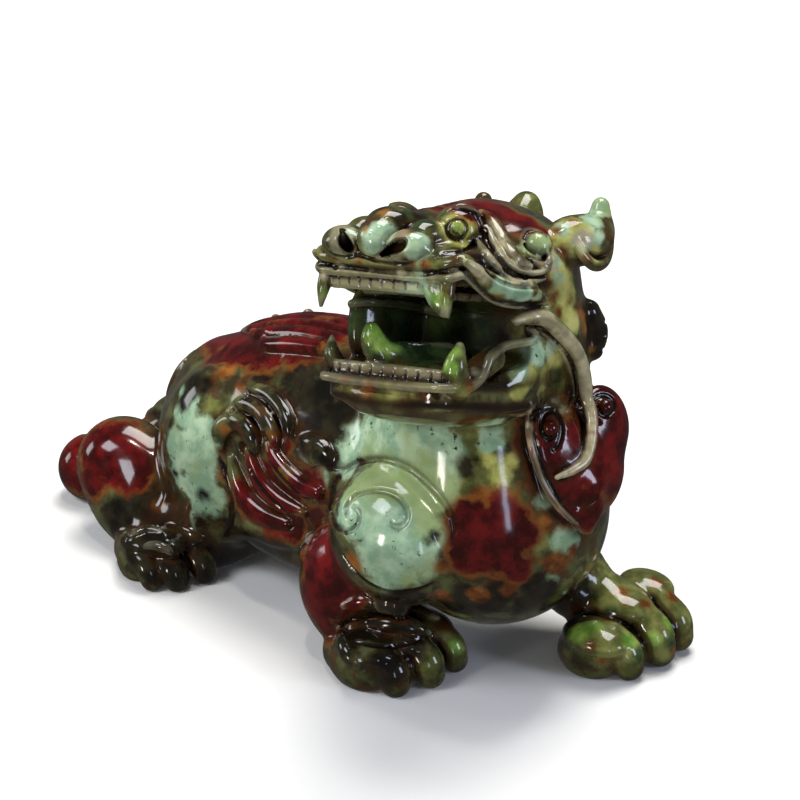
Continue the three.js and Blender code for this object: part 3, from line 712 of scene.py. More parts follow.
@dataclass(frozen=True)
class Mouth:
    """The open mouth with its palate, far cheek, lips, teeth, fangs and tongue, in the head's frame.

    Each row of the rises is (forward, height above the front of the lip), from the mouth's corner to the
    front. Each row of teeth is (half width, forward value of its middle, lower side, upper side).
    """

    opening: Mass = Mass((104, 0, -24), (92, 140, 36), 5, 4, cut=True)
    palate_folds: tuple[float, ...] = (38, 56, 74, 92)
    far_cheek: Mass = Mass((38, -66, -24), (58, 15, 46), 6, 2.6)
    far_cheek_fold: Stroke = Stroke(
        ((350, 304), (365, 302), (385, 303), (405, 305), (425, 309), (445, 314)), 4, blend=2
    )
    upper_rises: Pairs = ((12, -21), (34, -21), (62, -19), (80, -15), (94, -8), (108, 0), (119, 4))
    lower_rises: Pairs = (
        (14, 54), (8, 49), (14, 44), (28, 42), (44, 40), (58, 35), (68, 28), (74, 15), (84, 6), (100, 1),
    )
    front_lip_line: Stroke = groove(((317, 264), (345, 267), (375, 271), (400, 274), (425, 275)), 1.8)
    side_lip_line: Stroke = groove(
        ((425, 275), (440, 272), (452, 268), (462, 269), (470, 277), (480, 289), (491, 298), (505, 301),
         (518, 300)),
        (1.8, 1.8, 1.8, 1.8, 2, 2, 2, 2, 1),
    )
    tooth_rows: tuple[tuple[float, float, float, float], ...] = ((66, 126, 11.5, 19), (62, 119, -67, -60.5))
    tooth_pitch: float = 14.0
    tooth_bow: float = 5.0
    teeth_on_each_side: int = 4
    gum_line: Stroke = groove(((322, 273), (345, 276), (375, 279), (400, 281), (421, 284)), 1.3)
    corner_fangs: tuple[Limb, ...] = (
        Limb(((123, 73, 22), (126, 75, 8), (126, 77, -9)), (7.5, 6.2, 2.2), 1.2),
        Limb(((104, 68, -70), (110, 74, -54), (106, 80, -38)), (11, 8, 2.2), 1.2),
        Limb(((56, 72, -46), (78, 66, -62), (96, 62, -66)), (12, 12, 9), 1.2),
    )
    near_fangs: tuple[Limb, ...] = (
        Limb(((121, 54, 18), (123, 62, 6), (125, 71, -7)), (10.5, 10, 4), 4),
        Limb(((101, 71, -72), (109, 75, -54), (107, 77, -35)), (13, 11, 4), 2),
    )
    tongue_root: Mass = Mass((44, 4, -66), (74, 54, 16), 6, 2.6)
    tongue: Limb = Limb(
        ((40, 0, -58), (76, -8, -56), (104, -14, -50), (116, -18, -38), (118, -20, -27)),
        (22, 19, 15, 12, 7),
        5,
    )
    tongue_groove: Limb = Limb(
        ((30, 6, -44), (60, 2, -41), (88, -6, -38), (104, -12, -33)), (1.5, 2.2, 2.2, 1), 1.5, cut=True
    )

    def carve(self, block: Block) -> None:
        """Cuts the mouth right through from side to side, then lays all that is in it and round it.

        Args:
            block: the stone.
        """
        self.opening.carve(block, HEAD)
        for back in self.palate_folds:
            Limb(((back, -52, 8), (back + 8, 0, 10), (back, 52, 8)), 5, 3).carve(block, HEAD)
        self.far_cheek.carve(block, HEAD)
        self.far_cheek_fold.carve(block)
        self.lips(block)
        for row in self.tooth_rows:
            self.teeth(block, *row)
        self.gum_line.carve(block)
        for side in BOTH_SIDES:
            for fang in self.corner_fangs:
                fang.carve(block, HEAD, side)
        for form in (*self.near_fangs, self.tongue_root, self.tongue, self.tongue_groove):
            form.carve(block, HEAD)

    def lips(self, block: Block) -> None:
        """Lays the band above the upper lip and both rims, then cuts the line under the lower one and
        the lines along the upper one.

        Args:
            block: the stone.
        """
        for half_width, front, level, rises, radius, blend, cut in (
            (MUZZLE_HALF_WIDTH - 1, 129, 36, self.upper_rises, 6.5, 3, False),
            (MUZZLE_HALF_WIDTH + 1, 130, 24, self.upper_rises, 4.4, 0.8, False),
            (JAW_HALF_WIDTH + 3, 125, -73, self.lower_rises, 4.4, 0.8, False),
            (JAW_HALF_WIDTH + 5, 129, -80, self.lower_rises[3:], 2.1, 0.8, True),
        ):
            block.limb(self.lip_line(half_width, front, level, rises), radius, HEAD, blend, cut)
        self.front_lip_line.carve(block)
        self.side_lip_line.carve(block, HEAD)

    def lip_line(self, half_width: float, front: float, level: float, rises: Pairs) -> Array:
        """A lip's line: back along one cheek, level across the front, back along the other.

        Args:
            half_width: from the middle to the cheek.
            front: forward value of the front.
            level: height of the front.
            rises: rows of (forward, height above the level) from the corner of the mouth to the front.

        Returns:
            Rows of (forward, left, up).
        """
        near = np.array([[f, half_width, level + u] for f, u in rises])
        turn = [front - 2, half_width - 10, level]
        middle = [[front, half_width * k, level - 1] for k in (0.45, 0.0, -0.45)]
        far = mirrored(np.vstack([near, turn]), -1.0)[::-1]
        return np.vstack([near, turn, middle, far])

    def teeth(self, block: Block, half_width: float, front: float, low: float, high: float) -> None:
        """A flat bowed row of front teeth, parted by saw cuts at an even pitch.

        Args:
            block: the stone.
            half_width: from the middle to the row's end.
            front: forward value of the row's middle.
            low: height of the row's lower side, above 0 for the upper teeth.
            high: height of its upper side.
        """
        across = np.linspace(-1, 1, 7)
        for height in np.linspace(low, high, 3):
            bowed = front - self.tooth_bow * across**2
            block.limb(np.column_stack([bowed, half_width * across, np.full(7, height)]), 4, HEAD, 1.5)
        bite = low - 5.0 if low > 0 else high + 5.0
        for n in range(-self.teeth_on_each_side, self.teeth_on_each_side + 1):
            left = n * self.tooth_pitch
            out = front + 3.6 - self.tooth_bow * (left / half_width) ** 2
            block.rod(HEAD.place([[out, left, low - 5], [out, left, high + 3]]), 1.2, 0.4, cut=True)
            block.rod(HEAD.place([[out - 9, left, bite], [out + 2, left, bite]]), 1.3, 0.8, cut=True)


@dataclass(frozen=True)
class Nose:
    """Bulb, bump, two flared wings, their nostrils and the line under them, in the head's frame.

    Each row of `depths` is (forward value, share of the nostril's width there).
    """

    middle: float = -9.0
    wing_spread: float = 40.0
    near_nostril: Pixels = ((376, 256), (386, 252), (396, 247), (403, 243))
    near_radii: tuple[float, ...] = (1.8, 5, 6.8, 5)
    far_nostril: Pixels = ((343, 234), (344, 241), (348, 247), (354, 253))
    far_radii: tuple[float, ...] = (5, 6.8, 6.5, 2.5)
    depths: Pairs = ((152, 1.1), (145, 1.0), (138, 0.95), (131, 0.85), (124, 0.7))
    foot: Stroke = narrowing(
        ((328, 250), (334, 255), (345, 257), (358, 255), (367, 257), (376, 261), (388, 263), (401, 264),
         (413, 262)),
        2.0,
    )

    def carve(self, block: Block) -> None:
        """Lays the bulb and the wings, then cuts each nostril as rods one behind the other.

        Args:
            block: the stone.
        """
        Mass((108, self.middle - 1, 67), (28, 24, 18), 4).carve(block, HEAD)
        Mass((126, self.middle, 55), (21, 21, 20), 1.5).carve(block, HEAD)
        for side in BOTH_SIDES:
            wing = self.middle + self.wing_spread * side
            Mass((128, wing, 49), (20, 23, 16.5), 1.5).carve(block, HEAD)
            Mass((102, wing - 3 * side, 62), (22, 16, 13), 5).carve(block, HEAD)
        for spots, radii in ((self.near_nostril, self.near_radii), (self.far_nostril, self.far_radii)):
            thick = curve(np.reshape(radii, (-1, 1)), 10)[:, 0]
            for forward, share in self.depths:
                block.rod(SIGHT.meet(curve(spots, 10), HEAD, forward), thick * share, 1, cut=True)
        self.foot.carve(block)


@dataclass(frozen=True)
class Eyes:
    """Round eyes in their sockets, each with the rings of the iris, under the brow."""

    spot: tuple[float, float] = (458.0, 230.0)
    radius: float = 23.0
    socket: Stroke = groove(
        ((440, 216), (450, 210), (462, 209), (474, 214), (480, 225), (480, 237), (472, 246), (460, 251),
         (444, 252)),
        (1.2, 2, 2.4, 2.8, 3, 2.8, 2.4, 2, 1.2),
    )
    iris_spot: tuple[float, float] = (457.0, 229.0)
    iris_rings: Pairs = ((10.0, 2.0), (5.8, 1.0))
    brow: Stroke = Stroke(((446, 212), (457, 207), (469, 208), (479, 215)), (1.5, 3, 3.5, 2), blend=3)
    lower_lid: Stroke = groove(((442, 253), (455, 254), (466, 250), (477, 241)), (1, 1.8, 1.8, 1))

    def carve(self, block: Block) -> None:
        """Lays the balls, then cuts the sockets and the rings, each with its radius and its width.

        Args:
            block: the stone.
        """
        block.balls(block.under(self.spot, 12, HEAD), self.radius, 3)
        self.socket.carve(block, HEAD)
        cos, sin = ring(25)
        u, v = self.iris_spot
        for radius, width in self.iris_rings:
            block.trace(np.column_stack([u + radius * cos, v + radius * sin]), width, HEAD, cut=True)
        self.brow.carve(block)
        self.lower_lid.carve(block, HEAD)


@dataclass(frozen=True)
class Ears:
    """Leaf-shaped ears drawn up to a point, hollowed in front, each with a folded edge and a lobe."""

    leaf: Limb = Limb(
        ((-22, 66, 58), (-42, 71, 63), (-62, 73, 65), (-78, 73, 72), (-85, 72, 85), (-86, 72, 97)),
        (12, 22, 24, 19, 12, 8.5),
        4,
    )
    hollow: Limb = Limb(((-21, 97, 74), (-29, 99, 67), (-34, 98, 56)), (6, 9, 7), 3, cut=True)
    fold: Limb = Limb(
        ((-32, 86, 66), (-38, 91, 52), (-54, 94, 42), (-72, 91, 46), (-84, 86, 60), (-88, 82, 78)),
        (3, 5, 5.5, 5.5, 5, 3),
        2,
    )
    lobe: Mass = Mass((-76, 88, 66), (8, 8, 10), 2)

    def carve(self, block: Block) -> None:
        """Lays the near ear, then the far one.

        Args:
            block: the stone.
        """
        for side in BOTH_SIDES:
            for form in (self.leaf, self.hollow, self.fold, self.lobe):
                form.carve(block, HEAD, side)


@dataclass(frozen=True)
class Crown:
    """The band over the crown, the knob, the lump behind the brow and the tuft at the back."""

    band: Limb = Limb(((92, 0, 64), (50, 0, 69), (0, 0, 70), (-50, 0, 66)), (10, 19, 23, 16), 14)
    knob: Limb = Limb(((-70, -12, 70), (-76, -12, 84), (-80, -13, 94)), (22, 19, 14), 3)
    lump: Limb = Limb(((24, -14, 74), (6, -16, 79), (-14, -16, 79), (-34, -14, 74)), (9, 14, 14, 9), 5)
    tuft: Limb = Limb(((-92, 60, -2), (-103, 58, -20), (-102, 60, -37)), (12, 15, 11), 5)
    tuft_foot: float = -34.0
    tuft_lines: int = 5
    tuft_pitch: float = 13.0

    def carve(self, block: Block) -> None:
        """Lays the forms, then cuts the lines of the tuft one above the other.

        Args:
            block: the stone.
        """
        for form in (self.band, self.knob, self.lump, self.tuft):
            form.carve(block, HEAD)
        for n in range(self.tuft_lines):
            low = self.tuft_foot + self.tuft_pitch * n
            line = ((-104, 46, low + 6), (-122, 58, low), (-104, 72, low - 4))
            Limb(line, 1.6, 1, cut=True).carve(block, HEAD)


@dataclass(frozen=True)
class Mane:
    """Locks combed back over the cheeks, the ball in their curl, and the long whiskers.

    The whiskers start alike in the head's frame. The near one goes on past its bend in the plate's
    frame, and the far one stops at its end.
    """

    locks: tuple[Stroke, ...] = (
        Stroke(((466, 262), (476, 270), (487, 280), (500, 288), (515, 291), (530, 292), (543, 299)),
               (3, 6, 8.5, 10, 10, 9, 4), 2.5, even=6),
        Stroke(((477, 240), (484, 251), (491, 261), (499, 270), (508, 277), (519, 281), (532, 282),
                (545, 279)), (2, 3.8, 4.4, 4.4, 4.2, 3.6, 3, 1.5), 3, even=6),
        Stroke(((481, 212), (489, 220), (496, 232), (502, 244), (509, 254), (518, 262), (529, 267)),
               (3, 7, 9, 10, 9, 7, 4), 2.5, even=6),
        Stroke(((486, 225), (491, 237), (497, 248), (504, 258), (512, 265), (522, 271), (534, 273),
                (545, 270), (550, 263), (550, 256)),
               (1.5, 3.2, 3.6, 3.6, 3.6, 3.4, 3.2, 3, 2.6, 1.5), 4, even=6),
    )
    grooves: tuple[Stroke, ...] = (
        groove(((474, 213), (480, 222), (484, 233), (488, 243), (493, 253), (499, 262), (506, 270),
                (514, 275), (523, 278), (535, 278), (546, 276)),
               (2, 3.6, 3.8, 3.6, 3.4, 3.4, 3.2, 2.8, 2.2, 1.8, 1)),
        groove(((491, 228), (496, 239), (502, 250), (509, 259), (518, 266), (529, 269), (540, 268)),
               (0.8, 1.5, 1.7, 1.7, 1.6, 1.4, 0.8)),
        groove(((479, 261), (487, 270), (495, 277), (504, 282), (516, 286), (530, 287), (542, 288)),
               (1, 2.4, 2.6, 2.6, 2.4, 2, 1)),
        groove(((500, 306), (512, 305), (524, 304), (536, 308), (548, 306)), (1, 2, 2, 2, 1)),
    )
    ball_spot: tuple[float, float] = (537.0, 246.0)
    ball_radius: float = 13.5
    hook: Stroke = Stroke(
        ((531, 259), (538, 264), (545, 265), (549, 260), (548, 253)), (1.5, 3.2, 3.4, 3, 1.5), 2
    )
    whisker: tuple[Triple, ...] = (
        (42, 84, -12), (29, 91, -7), (12, 94, -8), (-10, 94, -19), (-32, 92, -32), (-50, 88, -46),
        (-62, 85, -64),
    )
    near_bend: Triple = (-68, 84, -82)
    far_end: Triple = (-64, 80, -96)
    whisker_radii: tuple[float, ...] = (4, 7.5, 8, 7.8, 7.4, 7, 7, 6.6)
    near_tail: tuple[Triple, ...] = (
        (20, 0, 46), (20, -3, 32), (20, -9, 17), (19, -19, 5), (18, -35, 1), (16, -53, 0),
    )
    near_tail_radii: tuple[float, ...] = (6.4, 6.2, 6, 5.6, 4.6, 2.4)
    inner_line: Stroke = Stroke(
        ((532, 329), (546, 334), (558, 346), (567, 361), (573, 378), (574, 396), (568, 410)),
        (1.5, 3, 3.4, 3.4, 3.2, 3, 1.5),
        1,
    )

    def carve(self, block: Block) -> None:
        """Lays the locks, cuts the lines between them, then lays the ball in its hollow and the whiskers.

        Args:
            block: the stone.
        """
        balls = block.under(self.ball_spot, 4, HEAD)
        for stroke in (*self.locks, *self.grooves):
            stroke.carve(block, HEAD)
        block.balls(balls, self.ball_radius + 2, 1.5, cut=True)
        block.balls(balls, self.ball_radius)
        self.hook.carve(block, HEAD)
        near = np.vstack([HEAD.place((*self.whisker, self.near_bend)), PLATE.place(self.near_tail)])
        far = HEAD.place(mirrored((*self.whisker, self.far_end), -1.0))
        for path, radii in ((near, self.whisker_radii + self.near_tail_radii), (far, self.whisker_radii)):
            block.limb(path, radii, blend=1.5, fine=16)
        self.inner_line.carve(block, HEAD)


@dataclass(frozen=True)
class BreastPlate:
    """The scrolled plate on the breast, pointed below, with a spiral in each shoulder of it."""

    root: Limb = Limb(((-34, 28, 20), (-54, 16, -30)), (42, 38), 10)
    near_lobe: Mass = Mass((0, 28, 26), (16, 31, 38), 3)
    far_lobe: Mass = Mass((0, -27, 26), (16, 37, 40), 6)
    shield: Mass = Mass((0, -6, -6), (17, 51, 50), 8)
    point: Limb = Limb(((0, -8, -20), (0, -12, -44), (0, -16, -60)), (20, 15, 8), 8)
    rim: Stroke = Stroke(
        ((531, 403), (528, 425), (532, 450), (540, 475), (552, 498), (566, 515), (579, 526)),
        (1.5, 3, 3.4, 3.4, 3.4, 3.2, 2),
        1,
    )
    groove_from_rim: tuple[float, float] = (6.0, 1.0)
    groove_radii: tuple[float, ...] = (0.8, 1.6, 1.8, 1.8, 1.8, 1.6, 0.8)
    near_spiral: tuple[float, float] = (550.0, 428.0)
    far_spiral: tuple[float, float] = (605.0, 407.0)
    spiral_radius: float = 17.0
    dimple: Stroke = groove(((571, 499), (579, 507), (591, 506), (600, 497)), (2, 4.5, 4.5, 2), 1.5)

    def carve(self, block: Block) -> None:
        """Lays the two lobes and the point, then the rim, the spirals and the dimple.

        Args:
            block: the stone.
        """
        for form in (self.root, self.near_lobe, self.far_lobe, self.shield, self.point):
            form.carve(block, PLATE)
        self.rim.carve(block)
        block.trace(np.array(self.rim.spots) + self.groove_from_rim, self.groove_radii, cut=True)
        self.spiral(block, self.near_spiral, 0.8, 1.35)
        self.spiral(block, self.far_spiral, -0.95, 0.95)
        self.dimple.carve(block)

    def spiral(self, block: Block, spot: tuple[float, float], across: float, rise: float) -> None:
        """A groove whose radius shrinks evenly over one and a third turns, round a raised bead.

        Args:
            block: the stone.
            spot: the bead's pixel.
            across: by how much the radius is stretched across; below 0 turns the spiral the other way.
            rise: by how much it is stretched up.
        """
        angle = np.radians(np.linspace(-70, 400, 30))
        radius = np.linspace(self.spiral_radius, 5, 30)
        x, y = spot
        line = np.column_stack([x + across * radius * np.cos(angle), y - rise * radius * np.sin(angle)])
        block.trace(line, 2.7, cut=True)
        block.balls(block.under(spot, 2), 7.5, 1)


@dataclass(frozen=True)
class Paw:
    """A paw with its toes along +X: knuckles, and a rounded toe before each, on a pad.

    Each knuckle and each toe is (x, y, z, width) at its middle, and the pad (x, y, length, width). The
    pad fills the stone between them and the ground.
    """

    knuckles: tuple[tuple[float, float, float, float], ...]
    toes: tuple[tuple[float, float, float, float], ...]
    pad: tuple[float, float, float, float]

    def carve(self, block: Block, turn: float = 1.0) -> None:
        """Lays the pad, then each knuckle and toe.

        Args:
            block: the stone.
            turn: 1 as listed, or -1 on the body's other side.
        """
        x, y, length, width = self.pad
        block.blob([x, over(y, turn), 17], [length, width, 24], blend=6, power=2.6)
        for x, y, z, width in self.knuckles:
            y = over(y, turn)
            block.blob([x - 8, y, 0.45 * z], [1.35 * width, width, 0.55 * z + 5], blend=7)
            block.blob([x, y, z], [1.4 * width, 1.05 * width, 0.6 * width], blend=6)
        for x, y, z, width in self.toes:
            y = over(y, turn)
            block.limb(
                [[x - 15, y - 2, 1.5 * z], [x, y, 1.05 * z], [x + 5, y + 1, 0.5 * z]],
                [0.85 * width, width, 0.9 * width],
                blend=3,
            )


@dataclass(frozen=True)
class Legs:
    """Haunches, hocks, shoulders and the four paws, with the folds above the near ones.

    The haunch and the hock are in the body's frame, and the rest in the stone's own.
    """

    haunch: Mass = Mass((-254, 66, 120), (62, 44, 98), 22)
    hock: Limb = Limb(
        ((-320, 66, 60), (-388, 82, 78), (-368, 98, 42), (-316, 112, 24)), (36, 46, 36, 28), 8, fine=30
    )
    hock_fill: Mass = Mass((-352, 98, 50), (46, 34, 42), 14)
    near_hind_paw: Paw = Paw(
        knuckles=((-282, -98, 42, 18), (-262, -84, 44, 20), (-260, -56, 42, 19)),
        toes=((-262, -106, 21, 14), (-244, -88, 20, 15), (-236, -58, 21, 15)),
        pad=(-290, -72, 48, 34),
    )
    near_shoulder: Mass = Mass((42, -44, 152), (74, 60, 70), 8)
    near_arm: Limb = Limb(
        ((10, -22, 120), (-24, -36, 82), (-24, -42, 46), (4, -40, 26)), (56, 56, 42, 32), 10, fine=24
    )
    near_front_paw: Paw = Paw(
        knuckles=((36, -82, 40, 24), (46, -46, 42, 24), (46, -10, 40, 22)),
        toes=((64, -76, 24, 17), (76, -41, 25, 17), (74, -5, 25, 15)),
        pad=(22, -42, 56, 58),
    )
    far_shoulder: Mass = Mass((66, 120, 112), (56, 44, 60), 10)
    far_arm: Limb = Limb(((84, 118, 92), (124, 136, 52), (150, 142, 44)), (46, 34, 30), 12)
    far_front_paw: Paw = Paw(
        knuckles=((177, 93, 38, 26), (168, 139, 54, 26), (164, 183, 55, 22)),
        toes=((203, 106, 26, 17), (207, 146, 31, 19), (203, 181, 31, 17)),
        pad=(166, 142, 46, 60),
    )
    folds: tuple[Stroke, ...] = (
        Stroke(((344, 606), (364, 601), (390, 604), (414, 611), (436, 618)), (4, 9, 10, 9, 4), 1),
        Stroke(((347, 629), (366, 625), (390, 624), (411, 627), (429, 633)), (4, 9, 11, 9, 3), 4),
        Stroke(((340, 628), (344, 642), (351, 656), (362, 668)), (4, 8, 9, 5)),
        Stroke(((126, 540), (138, 533), (152, 530), (166, 534)), (1.5, 5, 5.5, 1.5)),
        Stroke(((140, 549), (152, 545), (165, 548), (174, 555)), (1.5, 4.5, 5, 1.5)),
    )
    shoulder_line: Stroke = narrowing(
        ((338, 548), (350, 566), (368, 583), (392, 592), (420, 589), (442, 578))
    )
    paw_line: Stroke = narrowing(((350, 641), (372, 645), (397, 646), (415, 641), (431, 634)))

    def carve(self, block: Block) -> None:
        """Lays the legs from the haunches forward, then the fur folds and the lines between them.

        Args:
            block: the stone.
        """
        for side in BOTH_SIDES:
            for form in (self.haunch, self.hock, self.hock_fill):
                form.carve(block, BODY, side)
            self.near_hind_paw.carve(block, -side)
        for form in (
            self.near_shoulder,
            self.near_arm,
            self.near_front_paw,
            self.far_shoulder,
            self.far_arm,
            self.far_front_paw,
            *self.folds,
            self.shoulder_line,
            self.paw_line,
        ):
            form.carve(block)


@dataclass(frozen=True)
class Wings:
    """Wings on both flanks: three hooks curl over at the front of the haunch and run down into feathers.

    The root is rows of (x, z), and it slides onto the flank from beside the body.
    """

    root: Pairs = ((-60, 100), (-117, 88), (-165, 84), (-190, 108), (-196, 140))
    root_radii: tuple[float, ...] = (8, 14, 15, 12, 5)
    knob: tuple[float, float] = (-70.0, 202.0)
    knob_radii: Triple = (24, 8, 15)
    beside: float = 150.0
    flank_edge: Stroke = groove(
        ((217, 452), (224, 470), (229, 488), (232, 505), (230, 524), (221, 541)), (1, 3, 3.4, 3.4, 3, 1)
    )
    feathers: tuple[Stroke, ...] = (
        Stroke(((232, 458), (238, 478), (249, 498), (265, 513), (288, 523)), (5, 10, 13, 12.5, 7)),
        Stroke(((250, 450), (257, 470), (268, 487), (284, 501), (303, 511)), (6, 9.5, 11, 10.5, 7), 1),
        Stroke(((270, 444), (277, 458), (288, 472), (302, 484), (319, 492)), (6, 9.5, 11, 11, 8), 1.5),
    )
    hooks: tuple[Stroke, ...] = (
        Stroke(((220, 446), (221, 431), (231, 421), (244, 423), (253, 434), (256, 446)),
               (5, 10, 11, 11, 10, 7.5), 3.5),
        Stroke(((229, 412), (243, 404), (258, 408), (269, 420), (275, 433), (276, 442)),
               (4, 9, 9.5, 9.5, 8.5, 6.5), 3.5),
        Stroke(((243, 396), (256, 390), (271, 396), (283, 409), (289, 422), (290, 432)),
               (3, 7, 8, 8, 7.5, 5.5), 3),
    )
    lines: tuple[Stroke, ...] = (
        narrowing(((246, 458), (252, 475), (263, 491), (279, 507), (297, 519))),
        narrowing(((265, 454), (274, 469), (286, 483), (300, 495), (313, 501))),
    )
    hollow: tuple[float, float] = (244.0, 448.0)

    def carve(self, block: Block) -> None:
        """Lays each root and its knob, then the feathers and hooks and the lines along them.

        Args:
            block: the stone.
        """
        x, z = np.array(self.root, float).T
        for side in BOTH_SIDES:
            into = np.array([0, -side, 0])
            y = MIDDLE + side * self.beside
            line = np.column_stack([x, np.full(len(x), y), z])
            block.strand(line, self.root_radii, into, blend=5, lift=-6)
            landed, _ = block.land([self.knob[0], y, self.knob[1]], into)
            block.blob(landed[0], self.knob_radii, blend=6)
        for stroke in (self.flank_edge, *self.feathers, *self.hooks, *self.lines):
            stroke.carve(block, BODY)
        block.balls(block.under(self.hollow, 2, BODY), 7, 1, cut=True)


@dataclass(frozen=True)
class ShoulderScroll:
    """The curled lines cut on each shoulder: an outer sweep with a small curl, and a C inside it."""

    outer: Stroke = groove(
        ((345, 533), (335, 526), (330, 510), (331, 495), (335, 482), (345, 470), (360, 462), (380, 459),
         (400, 464), (415, 473), (430, 487), (440, 498), (448, 511), (453, 530), (450, 550)),
        (1.5, *[3.2] * 7, *[4] * 5, 3.4, 1.5),
        1.1,
    )
    curl: Stroke = groove(
        ((345, 533), (353, 529), (358, 521), (358, 512), (353, 506)), (2.4, 3.2, 3.2, 3.2, 2), 1.1
    )
    inner: Stroke = groove(
        ((346, 517), (345, 508), (350, 499), (359, 493), (372, 490), (386, 491), (398, 497), (406, 507),
         (407, 518), (401, 526), (393, 526), (390, 519)),
        (2.2, 3.4, *[3.6] * 8, 3.4, 2.2),
        1.1,
    )
    neck_line: Stroke = narrowing(((306, 470), (322, 467), (337, 469), (350, 468)))

    def carve(self, block: Block) -> None:
        """Cuts the lines on both shoulders."""
        for stroke in (self.outer, self.curl, self.inner, self.neck_line):
            stroke.carve(block, BODY)


@dataclass(frozen=True)
class SpineAndTail:
    """Hair along the spine, and the tail: a band down the rump with a ball curled out by the near hock.

    Each row of `spine_run` is (share of the rearmost x, x, share of the offset from the middle), and
    each row of `tail_run` is (z, share of the offset).
    """

    tail: Limb = Limb(
        ((-330, 48, 130), (-392, 44, 90), (-436, 20, 50), (-466, -12, 34)), (26, 26, 26, 38), 6
    )
    locks: int = 7
    lock_pitch: float = 12.0
    spine_run: tuple[Triple, ...] = (
        (1, 0, 0.6), (0.6, -80, 1), (0.25, -112, 1), (0, -90, 0.85), (0, -48, 0.6),
    )
    spine_radii: tuple[float, ...] = (1, 6.5, 8.5, 7.5, 2)
    tail_hairs: tuple[float, ...] = (-26, -13, 0, 13, 26)
    tail_run: Pairs = ((200, 0.6), (170, 1), (130, 1), (92, 0.5))
    tail_radii: tuple[float, ...] = (1, 7, 8.5, 2)

    def carve(self, block: Block) -> None:
        """Lays the tail, then the hair of the spine from above and the tail's from behind.

        Args:
            block: the stone.
        """
        self.tail.carve(block)
        for n in range(self.locks):
            off = (n - (self.locks - 1) / 2) * self.lock_pitch
            rear = -284 + 0.055 * off * off
            line = [[share * rear + x, MIDDLE + off * k, 290] for share, x, k in self.spine_run]
            block.strand(line, self.spine_radii, [0, 0, -1], blend=1.5, lift=2)
        for off in self.tail_hairs:
            line = [[-400, MIDDLE + off * k, z] for z, k in self.tail_run]
            block.strand(line, self.tail_radii, [1, 0, 0], blend=1.5, lift=1)


# The stone's colours and painted shade


class Zone(Enum):
    """The stone's colour zones, each an attribute of the skin."""

    OLIVE = "olive"
    MOSS = "moss"
    STRAW = "straw"
    PALE = "pale"
    DARK = "dark"
    RUST = "rust"
    RED = "red"
    LIME = "lime"
    CREAM = "cream"


